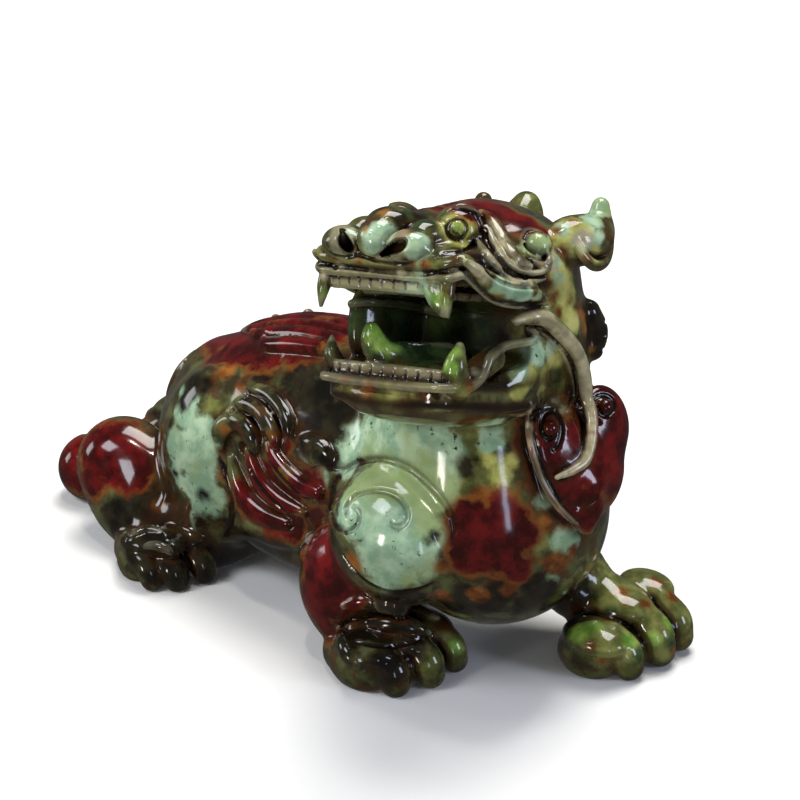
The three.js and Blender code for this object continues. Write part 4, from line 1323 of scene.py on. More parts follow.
# Round patches on the side that the picture shows, as pixel x, y and radius.
SEEN: dict[Zone, tuple[tuple[float, float, float], ...]] = {
    Zone.RED: (
        (75, 462, 36), (108, 450, 38), (128, 462, 30), (92, 482, 18), (240, 342, 28), (262, 340, 28),
        (285, 336, 28), (310, 332, 30), (340, 328, 25), (222, 356, 14), (212, 360, 11), (236, 352, 17),
        (254, 350, 19), (274, 350, 20), (294, 350, 17), (256, 470, 15), (270, 478, 20), (285, 490, 24),
        (305, 488, 22), (272, 458, 14), (282, 444, 12), (250, 500, 22), (268, 516, 20), (290, 524, 18),
        (318, 520, 14), (318, 548, 26), (325, 575, 32), (316, 603, 26), (334, 606, 20), (328, 628, 12),
        (350, 590, 18), (474, 524, 24), (502, 526, 26), (472, 550, 26), (500, 552, 24), (526, 536, 14),
        (518, 568, 14), (545, 440, 26), (562, 470, 32), (595, 440, 30), (605, 402, 26), (582, 508, 24),
        (612, 470, 26), (436, 208, 8), (452, 204, 11), (469, 204, 17), (488, 209, 19), (503, 217, 18),
        (516, 225, 14), (529, 230, 9), (526, 220, 12), (541, 231, 7),
    ),
    Zone.PALE: (
        (198, 442, 28), (190, 470, 32), (205, 496, 24), (176, 445, 18), (186, 412, 18), (350, 442, 22),
        (372, 436, 28), (402, 428, 42), (424, 450, 38), (432, 482, 28), (345, 458, 18), (412, 470, 26),
        (388, 490, 42), (360, 506, 30), (398, 548, 42), (388, 576, 22), (425, 540, 22), (320, 478, 12),
        (381, 236, 17), (417, 248, 13), (536, 245, 13), (522, 295, 8), (562, 228, 8), (592, 219, 11),
        (598, 206, 14), (583, 242, 10), (566, 540, 16), (574, 522, 12), (548, 584, 12), (490, 424, 14),
        (492, 440, 12), (535, 352, 14), (520, 372, 12), (350, 233, 8), (436, 285, 6), (500, 287, 8),
        (512, 292, 9), (526, 295, 9), (538, 299, 7), (550, 345, 8), (196, 518, 10), (600, 238, 7),
        (537, 245, 11), (556, 262, 8), (557, 279, 8), (196, 524, 8), (545, 500, 10), (570, 510, 12),
        (556, 470, 8), (182, 392, 7), (196, 400, 6),
    ),
    Zone.OLIVE: (
        (562, 280, 22), (564, 305, 22), (568, 332, 24), (560, 362, 26), (576, 372, 22), (540, 352, 26),
        (518, 376, 22), (440, 396, 14), (464, 390, 14), (600, 640, 28), (622, 604, 26), (652, 582, 24),
        (655, 640, 26), (676, 620, 22), (628, 660, 18), (529, 205, 20), (466, 444, 24), (482, 468, 22),
        (492, 426, 20), (456, 484, 16), (425, 664, 16), (452, 648, 16), (213, 406, 12), (458, 230, 18),
        (400, 560, 14), (470, 262, 12), (440, 262, 12), (505, 288, 11), (488, 276, 9), (410, 372, 12),
        (370, 370, 12), (545, 542, 14), (560, 552, 10), (510, 262, 8), (498, 246, 8), (525, 277, 8),
        (345, 392, 14), (385, 398, 16), (425, 398, 16), (412, 245, 8), (395, 222, 8), (405, 212, 8),
        (345, 262, 8), (440, 240, 10), (430, 285, 10),
    ),
    # Black-brown stone, and painted shade under the belly, between the legs and low on the paws.
    Zone.DARK: (
        (312, 398, 36), (285, 400, 18), (290, 428, 16), (322, 430, 28), (300, 375, 22), (330, 456, 14),
        (345, 412, 20), (262, 378, 12), (194, 384, 18), (184, 400, 12), (165, 560, 34), (145, 545, 26),
        (192, 566, 26), (135, 540, 24), (225, 556, 32), (158, 512, 24), (262, 546, 26), (240, 538, 20),
        (280, 548, 22), (150, 495, 16), (380, 622, 34), (350, 626, 22), (402, 645, 26), (385, 670, 22),
        (430, 606, 28), (408, 600, 22), (455, 604, 20), (490, 606, 16), (558, 602, 26), (543, 592, 20),
        (528, 604, 20), (580, 600, 16), (602, 325, 30), (598, 345, 16), (486, 199, 14), (502, 338, 10),
        (520, 325, 8), (345, 600, 12), (354, 622, 14), (118, 515, 24), (100, 525, 18), (135, 500, 16),
        (78, 492, 16), (500, 594, 20), (465, 594, 16), (535, 582, 14), (385, 604, 12), (397, 608, 12),
        (345, 640, 14), (250, 540, 18), (300, 560, 18), (205, 385, 12), (435, 536, 7), (428, 541, 5),
        (467, 468, 12), (477, 464, 8), (460, 463, 6), (203, 496, 8), (212, 504, 4), (183, 472, 4),
        (175, 473, 5), (165, 458, 4), (162, 440, 5), (170, 424, 6), (200, 523, 12), (222, 520, 8),
        (180, 515, 8), (398, 216, 10), (380, 208, 8), (418, 218, 8), (551, 425, 6), (612, 404, 6),
        (393, 249, 10), (347, 243, 10), (612, 345, 16), (248, 402, 9), (262, 400, 9), (276, 408, 9),
        (286, 420, 9), (232, 422, 8), (246, 424, 8), (256, 436, 8), (266, 420, 8), (276, 436, 8),
        (484, 234, 4), (488, 250, 4), (430, 224, 6), (345, 366, 6), (400, 380, 6),
    ),
    Zone.MOSS: (
        (400, 303, 22), (370, 303, 16), (430, 310, 18), (410, 330, 24), (435, 340, 20), (385, 350, 16),
        (460, 330, 18), (484, 330, 16), (470, 352, 14), (350, 320, 16), (425, 222, 12), (408, 214, 9),
        (432, 255, 9), (590, 270, 8), (500, 420, 8), (555, 380, 12), (590, 225, 6), (640, 655, 9),
        (612, 612, 10), (672, 640, 8),
    ),
    Zone.STRAW: (
        (560, 282, 18), (566, 300, 18), (572, 320, 14), (545, 306, 8), (530, 375, 12), (575, 246, 12),
        (572, 226, 13), (594, 252, 9), (586, 228, 8), (562, 238, 11), (420, 262, 6), (457, 229, 17),
        (520, 388, 12), (556, 358, 10), (545, 380, 12), (488, 460, 10), (500, 478, 9), (512, 460, 8),
    ),
    Zone.LIME: (
        (375, 330, 12), (388, 346, 12), (398, 348, 7), (436, 300, 8), (445, 306, 6), (324, 294, 6),
        (456, 648, 8), (450, 368, 8), (455, 352, 7), (456, 228, 6), (580, 632, 14), (596, 626, 10),
        (630, 640, 9), (652, 640, 9), (668, 622, 8),
    ),
    Zone.CREAM: (
        (490, 228, 7), (496, 238, 8), (502, 248, 9), (510, 259, 8), (520, 267, 7), (531, 271, 6),
        (543, 270, 5), (493, 233, 7), (499, 243, 8), (506, 254, 8), (515, 263, 7), (525, 269, 6),
        (537, 271, 5), (488, 257, 5), (497, 269, 5), (508, 278, 5), (522, 281, 5), (481, 273, 6),
        (485, 252, 5), (492, 263, 5), (502, 274, 5), (515, 281, 5), (530, 281, 4), (475, 268, 6),
        (486, 278, 6), (521, 317, 6), (532, 316, 7), (545, 319, 8), (556, 328, 8), (567, 338, 8),
        (575, 350, 8), (582, 363, 8), (586, 378, 8), (589, 394, 8), (592, 411, 6), (592, 428, 6),
        (590, 446, 6), (584, 461, 6), (572, 471, 5), (558, 476, 5), (526, 316, 7), (538, 317, 8),
        (551, 323, 8), (562, 333, 8), (571, 344, 8), (579, 356, 8), (584, 370, 8), (588, 386, 8),
        (591, 402, 7), (592, 419, 6), (591, 437, 6), (587, 454, 6), (578, 466, 5), (565, 474, 5),
        (582, 239, 10), (532, 410, 4), (528, 428, 4), (529, 445, 4), (546, 406, 4), (554, 403, 4),
        (562, 409, 4), (324, 275, 4), (340, 265, 4), (372, 269, 4), (402, 272, 4), (460, 272, 5),
        (476, 374, 5), (444, 394, 5), (552, 255, 6), (556, 268, 5),
    ),
    Zone.RUST: (
        (224, 372, 16), (242, 386, 12), (100, 424, 12), (95, 445, 9), (222, 452, 8), (226, 476, 10),
        (232, 500, 8), (227, 430, 7), (240, 432, 6), (272, 436, 5), (482, 500, 16), (508, 503, 14),
        (545, 522, 14), (560, 562, 14), (572, 550, 8), (550, 560, 10), (590, 350, 5), (550, 330, 7),
        (558, 312, 7), (578, 308, 7), (584, 328, 7), (563, 341, 8), (588, 257, 7), (601, 250, 4),
        (556, 230, 7), (572, 222, 8), (352, 562, 12), (441, 566, 9), (446, 548, 7), (562, 252, 8),
        (384, 212, 6), (440, 595, 12), (480, 594, 12), (510, 590, 10), (150, 440, 8), (152, 470, 6),
        (160, 505, 8), (532, 470, 6), (455, 310, 3), (548, 284, 9), (553, 298, 9), (541, 264, 7),
        (474, 252, 6), (498, 264, 6), (512, 278, 6), (496, 297, 6), (425, 264, 7), (360, 264, 6),
        (335, 262, 6), (370, 388, 10), (425, 394, 10), (345, 378, 8), (470, 384, 8), (570, 300, 8),
        (582, 318, 8), (404, 232, 6), (366, 228, 5), (410, 262, 6), (610, 620, 8), (645, 604, 8),
        (620, 592, 9), (628, 600, 7), (590, 646, 8), (604, 660, 6), (656, 582, 8), (672, 596, 7),
        (674, 650, 6),
    ),
}

# Patches on the sides that the picture doesn't show, as x, y, z and radius in shares.
UNSEEN: dict[Zone, tuple[tuple[float, float, float, float], ...]] = {
    Zone.RED: (
        (-380, 120, 80, 60), (-290, 60, 232, 44), (-240, 75, 258, 46), (-180, 80, 275, 44),
        (-110, 80, 285, 40), (-150, 150, 160, 44), (-90, 160, 150, 40), (60, 160, 90, 46),
        (200, 90, 270, 50), (185, 105, 225, 36), (20, 30, 470, 40), (40, 70, 460, 34), (-440, 30, 60, 40),
    ),
    Zone.PALE: (
        (-250, 155, 130, 56), (20, 160, 170, 56), (90, 150, 180, 50), (-30, 110, 250, 40),
        (120, -110, 440, 24), (40, 60, 400, 40), (-20, 130, 120, 36),
    ),
    Zone.OLIVE: (
        (40, 130, 330, 60), (0, 60, 300, 50), (180, 160, 50, 60), (20, -60, 430, 50), (-200, 120, 220, 50),
        (60, -110, 430, 40), (-60, 120, 200, 50),
    ),
    # Mostly low on the body: painted shade there, with black-brown stone.
    Zone.DARK: (
        (-300, 60, 20, 90), (-150, 50, 40, 90), (-20, 50, 50, 70), (-100, 160, 215, 46),
        (-260, 180, 30, 60), (120, 80, 60, 50), (-300, 60, 120, 34), (40, 20, 460, 20),
    ),
    Zone.RUST: (
        (-200, 150, 190, 30), (-310, 110, 160, 30), (60, 170, 140, 26), (100, 140, 300, 30),
        (-40, 150, 180, 26),
    ),
    Zone.MOSS: ((70, -40, 340, 40), (60, -10, 385, 60), (90, -60, 385, 50)),
    Zone.STRAW: ((60, 120, 340, 30), (-30, 130, 160, 24)),
    Zone.LIME: (),
    Zone.CREAM: (),
}


class StoneColours:
    """Works out where each colour zone lies on the skin."""

    def __init__(self, block: Block) -> None:
        """Finds the middle of every patch of the picture on the block's skin.

        Args:
            block: the stone.
        """
        self.patches: dict[Zone, Array] = {}
        for zone in Zone:
            spots = np.array(SEEN[zone], float)
            points, ways = SIGHT.lines(spots[:, :2])
            landed, met = block.land(points, ways, SIGHT_REACH)
            seen = np.column_stack([landed, spots[:, 2]])[met]
            self.patches[zone] = np.vstack([seen, np.array(UNSEEN[zone], float).reshape(-1, 4)])

    def zone(self, zone: Zone, places: Array) -> Array:
        """The zone's strength: one minus the distance to a patch in its radii, the greatest of all patches.

        Args:
            zone: the colour zone.
            places: rows of x, y and z in shares.

        Returns:
            A value for each place, 1 in a patch's middle, 0 on its edge and -1 well away.
        """
        best = np.full(len(places), -1.0, np.float32)
        for x, y, z, radius in self.patches[zone]:
            away = np.sqrt(((places - np.array([x, y, z])) ** 2).sum(1))
            best = np.maximum(best, (radius - away) / (0.5 * radius + 8))
        return best


# Skin


class Skin:
    """Turns the carved block into one finished mesh object."""

    def __init__(self, block: Block) -> None:
        """Keeps the block that the skin is read from."""
        self.block = block
        self.shift = np.zeros(3)

    def nets(self) -> tuple[Array, NDArray[np.int64]]:
        """The skin as squares: a vertex at the mean crossing of each crossed cell, and a square across
        each crossed grid edge.

        Returns:
            Vertices in shares, and rows of four vertex numbers, facing out.
        """
        field = self.block.field
        inside = field < 0
        total = np.zeros([n - 1 for n in field.shape], np.uint8)
        corners = list(np.ndindex(2, 2, 2))
        for corner in corners:
            total += inside[_shifted(corner)]
        cells = np.argwhere((total > 0) & (total < 8))
        number = np.full(total.shape, -1, np.int64)
        number[tuple(cells.T)] = np.arange(len(cells))
        values = {c: field[tuple((cells + c).T)] for c in corners}
        spot = np.zeros((len(cells), 3))
        hits = np.zeros(len(cells))
        for corner in corners:
            for axis in range(3):
                if corner[axis]:
                    continue
                other = tuple(1 if k == axis else v for k, v in enumerate(corner))
                a, b = values[corner], values[other]
                crossed = (a < 0) != (b < 0)
                t = np.where(crossed, a / np.where(crossed, a - b, 1), 0)
                step = np.tile(np.asarray(corner, float), (len(cells), 1))
                step[:, axis] = t
                spot += np.where(crossed[:, None], step, 0)
                hits += crossed
        index = cells + spot / hits[:, None]
        places = np.column_stack(
            [np.interp(index[:, k], np.arange(len(line)), line) for k, line in enumerate(self.block.lines)]
        )
        squares = []
        for axis in range(3):
            low = [slice(1, -1)] * 3
            high = [slice(1, -1)] * 3
            low[axis], high[axis] = slice(0, -1), slice(1, None)
            a, b = inside[tuple(low)], inside[tuple(high)]
            edges = np.argwhere(a != b)
            out = a[tuple(edges.T)]
            edges += [0 if k == axis else 1 for k in range(3)]
            u, v = (np.eye(3, dtype=int)[(axis + n) % 3] for n in (1, 2))
            quad = np.stack([number[tuple((edges - back).T)] for back in (u + v, v, 0 * u, u)], 1)
            squares.append(np.where(out[:, None], quad, quad[:, ::-1]))
        return places, np.vstack(squares)

    def largest(self, places: Array, squares: NDArray[np.int64]) -> tuple[Array, NDArray[np.int64]]:
        """Keeps the largest connected body: each vertex takes the least label of its neighbours until
        nothing changes, then the commonest label stays.

        Args:
            places: vertices, as `nets` gives them.
            squares: their squares.

        Returns:
            The vertices that stay, and their squares.
        """
        label = np.arange(len(places))
        while True:
            least = label[squares].min(1)
            fresh = label.copy()
            for k in range(4):
                np.minimum.at(fresh, squares[:, k], least)
            fresh = fresh[fresh]
            if np.array_equal(fresh, label):
                break
            label = fresh
        keep = label[squares[:, 0]] == np.bincount(label[squares[:, 0]]).argmax()
        squares = squares[keep]
        used, renumbered = np.unique(squares, return_inverse=True)
        return places[used], renumbered.reshape(squares.shape)

    def mesh(self, name: str) -> bpy.types.Object:
        """Builds the object: the full skin, thinned to the triangles that one piece may have.

        Args:
            name: the object's name.

        Returns:
            The linked object, at the origin, with its place in its mesh.
        """
        places, squares = self.largest(*self.nets())
        self.shift = np.array([*((places[:, :2].max(0) + places[:, :2].min(0)) / 2), 0.0])
        full = bpy.data.meshes.new(name + "_full")
        full.from_pydata(((places - self.shift) * SHARE).tolist(), [], squares.tolist())
        piece = bpy.data.objects.new(name, full)
        bpy.context.scene.collection.objects.link(piece)
        LOG.info("%s: %d squares before thinning", name, len(squares))
        if 2 * len(squares) > SKIN_TRIANGLES:
            thin = piece.modifiers.new("thin", "DECIMATE")
            thin.ratio = SKIN_TRIANGLES / (2 * len(squares))
            thin.use_collapse_triangulate = True
            depsgraph = bpy.context.evaluated_depsgraph_get()
            done = bpy.data.meshes.new_from_object(piece.evaluated_get(depsgraph))
            piece.modifiers.clear()
            piece.data = done
            bpy.data.meshes.remove(full)
        piece.data.name = name
        return piece

    def finish(self, piece: bpy.types.Object) -> None:
        """Smooths the shading by the field's own slope and writes the colour and groove attributes.

        Args:
            piece: the object that `mesh` made.
        """
        mesh = piece.data
        flat = np.empty(3 * len(mesh.vertices), np.float32)
        mesh.vertices.foreach_get("co", flat)
        places = flat.reshape(-1, 3) / SHARE + self.shift
        slope = self.block.slope(places)
        mesh.shade_smooth()
        mesh.normals_split_custom_set_from_vertices(slope.tolist())
        colours = StoneColours(self.block)
        values = {zone.value: colours.zone(zone, places) for zone in Zone}
        # groove and hollow place the staining and painted shade in cuts and hollows; facing_up places the
        # painted shade on faces that look down.
        values["groove"] = 1 - self.block.sample(places + GROOVE_REACH * slope) / GROOVE_REACH
        values["hollow"] = 1 - self.block.sample(places + HOLLOW_REACH * slope) / HOLLOW_REACH
        values["ridge"] = 1 + self.block.sample(places - RIDGE_REACH * slope) / RIDGE_REACH
        values["facing_up"] = slope[:, 2]
        for name, column in values.items():
            layer = mesh.attributes.new(name, "FLOAT", "POINT")
            layer.data.foreach_set("value", column.astype(np.float32))


# Finishes


def linear(code: str) -> tuple[float, float, float, float]:
    """An sRGB hex colour as linear red, green, blue and one."""
    parts = [int(code[n : n + 2], 16) / 255 for n in (1, 3, 5)]
    return (*[v / 12.92 if v <= 0.04045 else ((v + 0.055) / 1.055) ** 2.4 for v in parts], 1.0)


def add_node(
    tree: bpy.types.NodeTree,
    kind: str,
    links: dict[str | int, bpy.types.NodeSocket] | None = None,
    **settings: object,
) -> bpy.types.Node:
    """Adds a node, sets its settings and inputs, and links what feeds it.

    Args:
        tree: the material's node tree.
        kind: the node's type name.
        links: input name or number to the socket that feeds it.
        settings: a node property, or with a leading `in_` an input's fixed value by name or number.

    Returns:
        The node.
    """
    node = tree.nodes.new(kind)
    for key, value in settings.items():
        if key.startswith("in_"):
            name = key[3:]
            node.inputs[int(name) if name.isdigit() else name.replace("_", " ")].default_value = value
        else:
            setattr(node, key, value)
    for key, socket in (links or {}).items():
        tree.links.new(socket, node.inputs[key])
    return node


@dataclass(frozen=True)
class Tint:
    """A zone's two colours, and over what band of its strength it fades in."""

    body: str
    cloud: str
    fade_from: float = -0.05
    fade_to: float = 0.15


@dataclass(frozen=True)
class Wash:
    """A colour laid over those below at a strength, where a value runs through a band."""

    colour: str
    band: tuple[float, float]
    strength: float


@dataclass(frozen=True)
class MottledJade:
    """Jade with a red iron-stained skin over pale green, cloudy and spotted, ground and waxed to a deep
    gloss: the colours drift in soft clouds, the red has an orange rim, staining and painted shade darken
    the cuts and hollows, and painted shade darkens the faces that look down."""

    ground: Tint = Tint("#322E1C", "#585B36")
    ground_band: tuple[float, float] = (0.4, 0.62)
    body_band: tuple[float, float] = (0.38, 0.66)
    brown: str = "#4A3218"
    brown_band: tuple[float, float] = (0.5, 0.62)
    yellow_green: Wash = Wash("#8E9C58", (0.46, 0.62), 0.7)
    speck: str = "#1D1E15"
    speck_band: tuple[float, float] = (0.61, 0.69)
    speck_ground: tuple[float, float] = (0.54, 0.46)
    rim: Tint = Tint("#8A5220", "#6A3010", -0.5, 0.0)
    rim_band: tuple[float, float] = (0.4, 0.6)
    rim_strength: float = 0.75
    # Zones that take less of the staining and painted shade in the cuts and hollows.
    spared_zones: tuple[Zone, ...] = (Zone.MOSS, Zone.PALE, Zone.CREAM)
    kept_off: float = 0.55
    # Brown in the wide hollows: iron staining there, with painted shade.
    halo_and_shade: Wash = Wash("#42240D", (0.1, 0.45), 0.7)
    ridges: Wash = Wash("#B4AE8E", (0.35, 0.95), 0.4)
    # Near black in the narrow cuts: staining there, with painted shade.
    stain_and_shade: Wash = Wash("#0E0804", (0.15, 0.6), 0.92)
    # Painted shade: browner and darker where the skin faces down, by its facing_up value.
    painted_underside_shade: Wash = Wash("#0E0804", (0.42, 0.0), 0.45)
    cloud_mm: float = 8.0
    wide_mm: float = 26.0
    edge_mm: float = 6.5
    edge_height: float = 1.7
    fleck_mm: float = 2.4
    swell_mm: float = 13.0
    swell_height: float = 0.0006
    roughness: float = 0.13
    roughness_spread: float = 0.08
    ior: float = 1.52
    specular: float = 0.38
    coat: float = 0.2
    coat_roughness: float = 0.03

    def tints(self) -> dict[Zone, Tint]:
        """The colours of the zones, from the lowest layer up.

        Returns:
            A tint for each zone.
        """
        return {
            Zone.OLIVE: Tint("#50552A", "#83854A", -0.35, 0.4),
            Zone.MOSS: Tint("#20301A", "#42562E", -0.35, 0.4),
            Zone.STRAW: Tint("#A3A452", "#CCC878", -0.35, 0.3),
            Zone.PALE: Tint("#84A688", "#B2CCAA", -0.3, 0.2),
            # Black-brown stone, and painted shade.
            Zone.DARK: Tint("#100E08", "#2B2618", -0.35, 0.4),
            Zone.RUST: Tint("#5A2D10", "#966028", -0.25, 0.5),
            Zone.RED: Tint("#340605", "#661211", -0.2, 0.2),
            Zone.LIME: Tint("#557D2C", "#92AE54", -0.3, 0.5),
            Zone.CREAM: Tint("#98906F", "#C8BD9A", -0.35, 0.4),
        }

    def material(self) -> bpy.types.Material:
        """Builds the material on Object coordinates and the skin's attributes.

        Returns:
            The material.
        """
        made = bpy.data.materials.new("mottled_jade")
        made.use_nodes = True
        tree = made.node_tree
        tree.nodes.clear()
        where = add_node(tree, "ShaderNodeTexCoord").outputs["Object"]

        def noise(size_mm: float, detail: float, seed: float) -> bpy.types.NodeSocket:
            """Noise of a real size, moved along by a seed.

            Args:
                size_mm: size of its clouds.
                detail: how many finer layers it has.
                seed: how far it is moved along.

            Returns:
                A value round one half.
            """
            place = (seed, 2 * seed, -seed)
            moved = add_node(tree, "ShaderNodeMapping", {"Vector": where}, in_Location=place)
            field = add_node(
                tree, "ShaderNodeTexNoise", {"Vector": moved.outputs[0]},
                in_Scale=1000 / size_mm, in_Detail=detail, in_Roughness=0.6,
            )
            return field.outputs["Fac"]

        def mask(value: bpy.types.NodeSocket, low: float, high: float) -> bpy.types.NodeSocket:
            """Zero below `low`, one above `high`, smooth between; turned round when low is above high.

            Args:
                value: what the mask follows.
                low: where it starts.
                high: where it is full.

            Returns:
                The mask.
            """
            return add_node(
                tree, "ShaderNodeMapRange", {"Value": value}, interpolation_type="SMOOTHSTEP",
                in_From_Min=low, in_From_Max=high,
            ).outputs["Result"]

        def step(kind: str, a: bpy.types.NodeSocket, b: float | bpy.types.NodeSocket) -> bpy.types.NodeSocket:
            """One arithmetic step.

            Args:
                kind: the operation.
                a: its first value.
                b: its second value.

            Returns:
                The result.
            """
            if isinstance(b, float):
                return add_node(tree, "ShaderNodeMath", {0: a}, operation=kind, in_1=b).outputs[0]
            return add_node(tree, "ShaderNodeMath", {0: a, 1: b}, operation=kind).outputs[0]

        def mix(
            share: bpy.types.NodeSocket, a: bpy.types.NodeSocket | str, b: bpy.types.NodeSocket | str
        ) -> bpy.types.NodeSocket:
            """Colour b over colour a by share.

            Args:
                share: how much of b shows.
                a: the colour below, or its hex code.
                b: the colour above, or its hex code.

            Returns:
                The mixed colour.
            """
            node = add_node(tree, "ShaderNodeMix", {"Factor": share}, data_type="RGBA")
            for slot, colour in ((6, a), (7, b)):
                if isinstance(colour, str):
                    node.inputs[slot].default_value = linear(colour)
                else:
                    tree.links.new(colour, node.inputs[slot])
            return node.outputs[2]

        def washed(
            below: bpy.types.NodeSocket,
            wash: Wash,
            value: bpy.types.NodeSocket,
            takes_stain_and_shade: bpy.types.NodeSocket | None = None,
        ) -> bpy.types.NodeSocket:
            """A wash over the colour below it, less where the place is spared.

            Args:
                below: the colour below.
                wash: the wash.
                value: what the wash follows.
                takes_stain_and_shade: share of staining and painted shade taken, or none where all is taken.

            Returns:
                The washed colour.
            """
            share = mask(value, *wash.band)
            if takes_stain_and_shade is not None:
                share = step("MULTIPLY", share, takes_stain_and_shade)
            return mix(step("MULTIPLY", share, wash.strength), below, wash.colour)

        def value_of(name: str) -> bpy.types.NodeSocket:
            """An attribute of the skin."""
            return add_node(tree, "ShaderNodeAttribute", attribute_name=name).outputs["Fac"]

        cloud = noise(self.cloud_mm, 5.0, 0.0)
        wide = noise(self.wide_mm, 3.0, 0.19)
        ragged = step("MULTIPLY", step("SUBTRACT", noise(self.edge_mm, 7.0, 0.31), 0.5), self.edge_height)
        fleck = noise(self.fleck_mm, 4.0, 0.57)
        takes_stain_and_shade = None
        colour = mix(mask(cloud, *self.ground_band), self.ground.body, self.ground.cloud)
        colour = mix(mask(noise(self.cloud_mm, 6.0, 0.71), *self.brown_band), colour, self.brown)
        for zone, tint in self.tints().items():
            edge = step("ADD", value_of(zone.value), ragged)
            if zone is Zone.RED:
                rim = mix(mask(cloud, *self.rim_band), self.rim.body, self.rim.cloud)
                faded = mask(edge, self.rim.fade_from, self.rim.fade_to)
                colour = mix(step("MULTIPLY", faded, self.rim_strength), colour, rim)
            body = mix(mask(cloud, *self.body_band), tint.body, tint.cloud)
            if zone is Zone.PALE:
                body = washed(body, self.yellow_green, wide)
                spots = step("MULTIPLY", mask(fleck, *self.speck_band), mask(wide, *self.speck_ground))
                body = mix(spots, body, self.speck)
            share = mask(edge, tint.fade_from, tint.fade_to)
            if zone in self.spared_zones:
                kept = step("ADD", step("MULTIPLY", share, -self.kept_off), 1.0)
                takes_stain_and_shade = kept if takes_stain_and_shade is None else step("MULTIPLY", takes_stain_and_shade, kept)
            colour = mix(share, colour, body)
        # Staining with painted shade in the hollows and cuts, less in the spared zones.
        colour = washed(colour, self.halo_and_shade, value_of("hollow"), takes_stain_and_shade)
        colour = washed(colour, self.ridges, value_of("ridge"))
        colour = washed(colour, self.stain_and_shade, value_of("groove"), takes_stain_and_shade)
        # Painted shade on the faces that look down.
        colour = washed(colour, self.painted_underside_shade, value_of("facing_up"))
        spread = step("MULTIPLY", fleck, self.roughness_spread)
        gloss = step("ADD", spread, self.roughness - self.roughness_spread / 2)
        swell = noise(self.swell_mm, 2.0, 0.83)
        bump = add_node(
            tree, "ShaderNodeBump", {"Height": swell}, in_Strength=0.3, in_Distance=self.swell_height
        )
        shader = add_node(
            tree,
            "ShaderNodeBsdfPrincipled",
            {"Base Color": colour, "Roughness": gloss, "Normal": bump.outputs[0]},
            in_IOR=self.ior,
            in_Specular_IOR_Level=self.specular,
            in_Coat_Weight=self.coat,
            in_Coat_Roughness=self.coat_roughness,
        )
        add_node(tree, "ShaderNodeOutputMaterial", {"Surface": shader.outputs[0]})
        return made


# Studio


@dataclass(frozen=True)
class Panel:
    """A soft light: its direction from the figure (right, front, up as the camera sees it), its size in
    metres, its radiance and its colour."""

    name: str
    toward: Triple
    size: tuple[float, float]
    radiance: float
    colour: str = "#FFFFFF"
    distance: float = 1.3


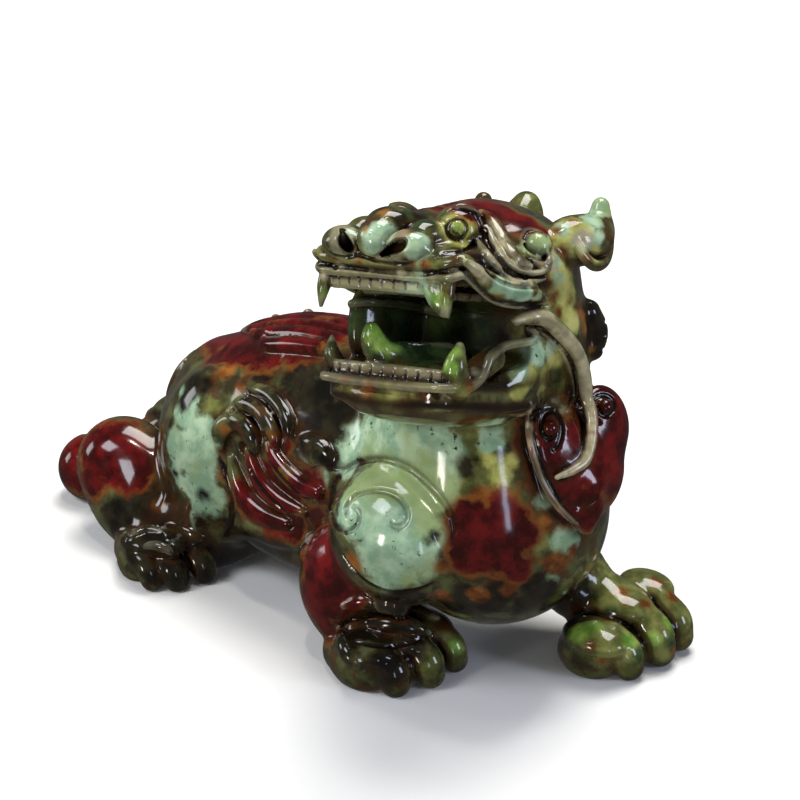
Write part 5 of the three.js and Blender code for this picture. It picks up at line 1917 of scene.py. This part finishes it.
@dataclass(frozen=True)
class Studio:
    """Pale floor, window-like soft lights in a dim room, and the photograph's camera."""

    panels: tuple[Panel, ...] = (
        Panel("window_upper_left", (-0.62, 0.3, 0.72), (0.5, 0.45), 10.0, "#F4F7FF"),
        Panel("window_left", (-0.94, -0.24, 0.22), (0.34, 0.4), 5.5),
        Panel("lamp_left_front", (-0.69, 0.71, 0.06), (0.16, 0.3), 26.0, "#FFF8EE"),
        Panel("window_front_right", (0.24, 0.95, 0.02), (0.1, 0.4), 9.0, "#D5E2FF"),
        Panel("window_right", (0.85, 0.45, 0.25), (0.3, 0.45), 12.0, "#DCE6FF"),
        Panel("lamp_above", (-0.07, 0.08, 0.99), (0.1, 0.1), 70.0, "#FFF8EE"),
        Panel("ceiling", (0.15, -0.35, 0.93), (1.0, 1.0), 10.5, "#FFFDF8", 1.8),
    )
    middle: Triple = (0.0, 0.0, 0.07)
    floor_radius: float = 4.0
    floor_turned_up_at: float = 1.2
    floor_rise: float = 0.25
    floor_rings: int = 40
    floor_spokes: int = 96
    paper: str = "#FCFCFB"
    sky: str = "#F2F5FA"
    sky_strength: float = 0.09
    sensor_mm: float = 36.0
    nearest_seen: float = 0.05

    def build(self, shift: Array) -> None:
        """Sets the floor, the lights and the camera.

        Args:
            shift: the stone's middle in shares, which stands at the origin.
        """
        self.floor()
        self.lights()
        self.camera(shift)

    def floor(self) -> None:
        """A wide pale sheet that curves up far behind the figure: z grows with the square of the distance
        past the circle where it turns up."""
        radius = np.concatenate([[0.0], np.linspace(0.2, self.floor_radius, self.floor_rings)])
        cos, sin = ring(self.floor_spokes + 1)
        height = self.floor_rise * np.maximum(radius - self.floor_turned_up_at, 0) ** 2
        level = np.outer(height, np.ones(len(cos)))
        grid = np.stack([np.outer(radius, cos), np.outer(radius, sin), level], -1)
        number = np.arange(level.size).reshape(level.shape)
        faces = np.stack([number[:-1, :-1], number[1:, :-1], number[1:, 1:], number[:-1, 1:]], -1)
        mesh = bpy.data.meshes.new("floor")
        mesh.from_pydata(grid.reshape(-1, 3).tolist(), [], faces.reshape(-1, 4).tolist())
        sheet = bpy.data.objects.new("floor", mesh)
        bpy.context.scene.collection.objects.link(sheet)
        paper = bpy.data.materials.new("pale_paper")
        paper.use_nodes = True
        shader = paper.node_tree.nodes["Principled BSDF"]
        shader.inputs["Base Color"].default_value = linear(self.paper)
        shader.inputs["Roughness"].default_value = 0.8
        shader.inputs["Specular IOR Level"].default_value = 0.1
        mesh.materials.append(paper)
        mesh.shade_smooth()
        sheet.visible_glossy = False

    def lights(self) -> None:
        """The panels, each aimed at the figure, and a dim even sky."""
        right, _, back = SIGHT.axes
        front = np.array([back[0], back[1], 0.0]) / math.hypot(back[0], back[1])
        for panel in self.panels:
            light = bpy.data.lights.new(panel.name, "AREA")
            light.shape = "RECTANGLE"
            light.size, light.size_y = panel.size
            light.energy = panel.radiance * math.pi * panel.size[0] * panel.size[1]
            light.color = linear(panel.colour)[:3]
            lamp = bpy.data.objects.new(panel.name, light)
            across, ahead, rise = panel.toward
            way = Vector(right * across + front * ahead + np.array([0, 0, rise])).normalized()
            lamp.location = Vector(self.middle) + way * panel.distance
            lamp.rotation_euler = (-way).to_track_quat("-Z", "Y").to_euler()
            bpy.context.scene.collection.objects.link(lamp)
        world = bpy.data.worlds.new("sky")
        world.use_nodes = True
        background = world.node_tree.nodes["Background"]
        background.inputs["Color"].default_value = linear(self.sky)
        background.inputs["Strength"].default_value = self.sky_strength
        bpy.context.scene.world = world

    def camera(self, shift: Array) -> None:
        """A camera whose picture is 800 shares wide at the point it looks at.

        Args:
            shift: the stone's middle in shares, which stands at the origin.
        """
        _, up, back = SIGHT.axes
        aim = up * SIGHT.look_up - shift
        place = aim + back * SIGHT.distance
        data = bpy.data.cameras.new("photo_camera")
        data.sensor_width = self.sensor_mm
        data.lens = data.sensor_width * SIGHT.distance / SIGHT.picture
        data.clip_start = self.nearest_seen
        camera = bpy.data.objects.new("photo_camera", data)
        camera.location = Vector(place) * SHARE
        camera.rotation_euler = Vector(-back).to_track_quat("-Z", "Y").to_euler()
        bpy.context.scene.collection.objects.link(camera)
        bpy.context.scene.camera = camera
        bpy.context.scene.view_settings.view_transform = "Standard"


def carve_stone(coarse: float) -> Block:
    """Carves the whole animal.

    Args:
        coarse: 1 for the full grid, more for a coarser and quicker one.

    Returns:
        The block, ready to be read off.
    """
    block = Block(
        [
            grid_lines((-530, 2.2), (-20, 1.35), (195, 2.2), end=292, coarse=coarse),
            grid_lines((-152, 1.5), (140, 2.2), end=262, coarse=coarse),
            grid_lines((-12, 2.0), (275, 1.35), end=530, coarse=coarse),
        ]
    )
    head = (Skull(), Mouth(), Nose(), Eyes(), Ears(), Crown())
    rest = (BreastPlate(), Mane(), Legs(), Wings(), ShoulderScroll(), SpineAndTail())
    for part in (Trunk(), *head, *rest):
        part.carve(block)
        LOG.info("carved %s", type(part).__name__)
    block.level()
    block.settle()
    return block


def main() -> None:
    """Carves and dresses the figure, then sets the studio."""
    logging.basicConfig(level=logging.INFO, format="%(relativeCreated)7d ms %(message)s")
    skin = Skin(carve_stone(1.0))
    figure = skin.mesh("carved_pixiu")
    skin.finish(figure)
    figure.data.materials.append(MottledJade().material())
    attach(figure, "root")
    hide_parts("pixiu_figure")
    LOG.info("%s: %d faces", figure.name, len(figure.data.polygons))
    Studio().build(skin.shift)


if __name__ == "__main__":
    main()
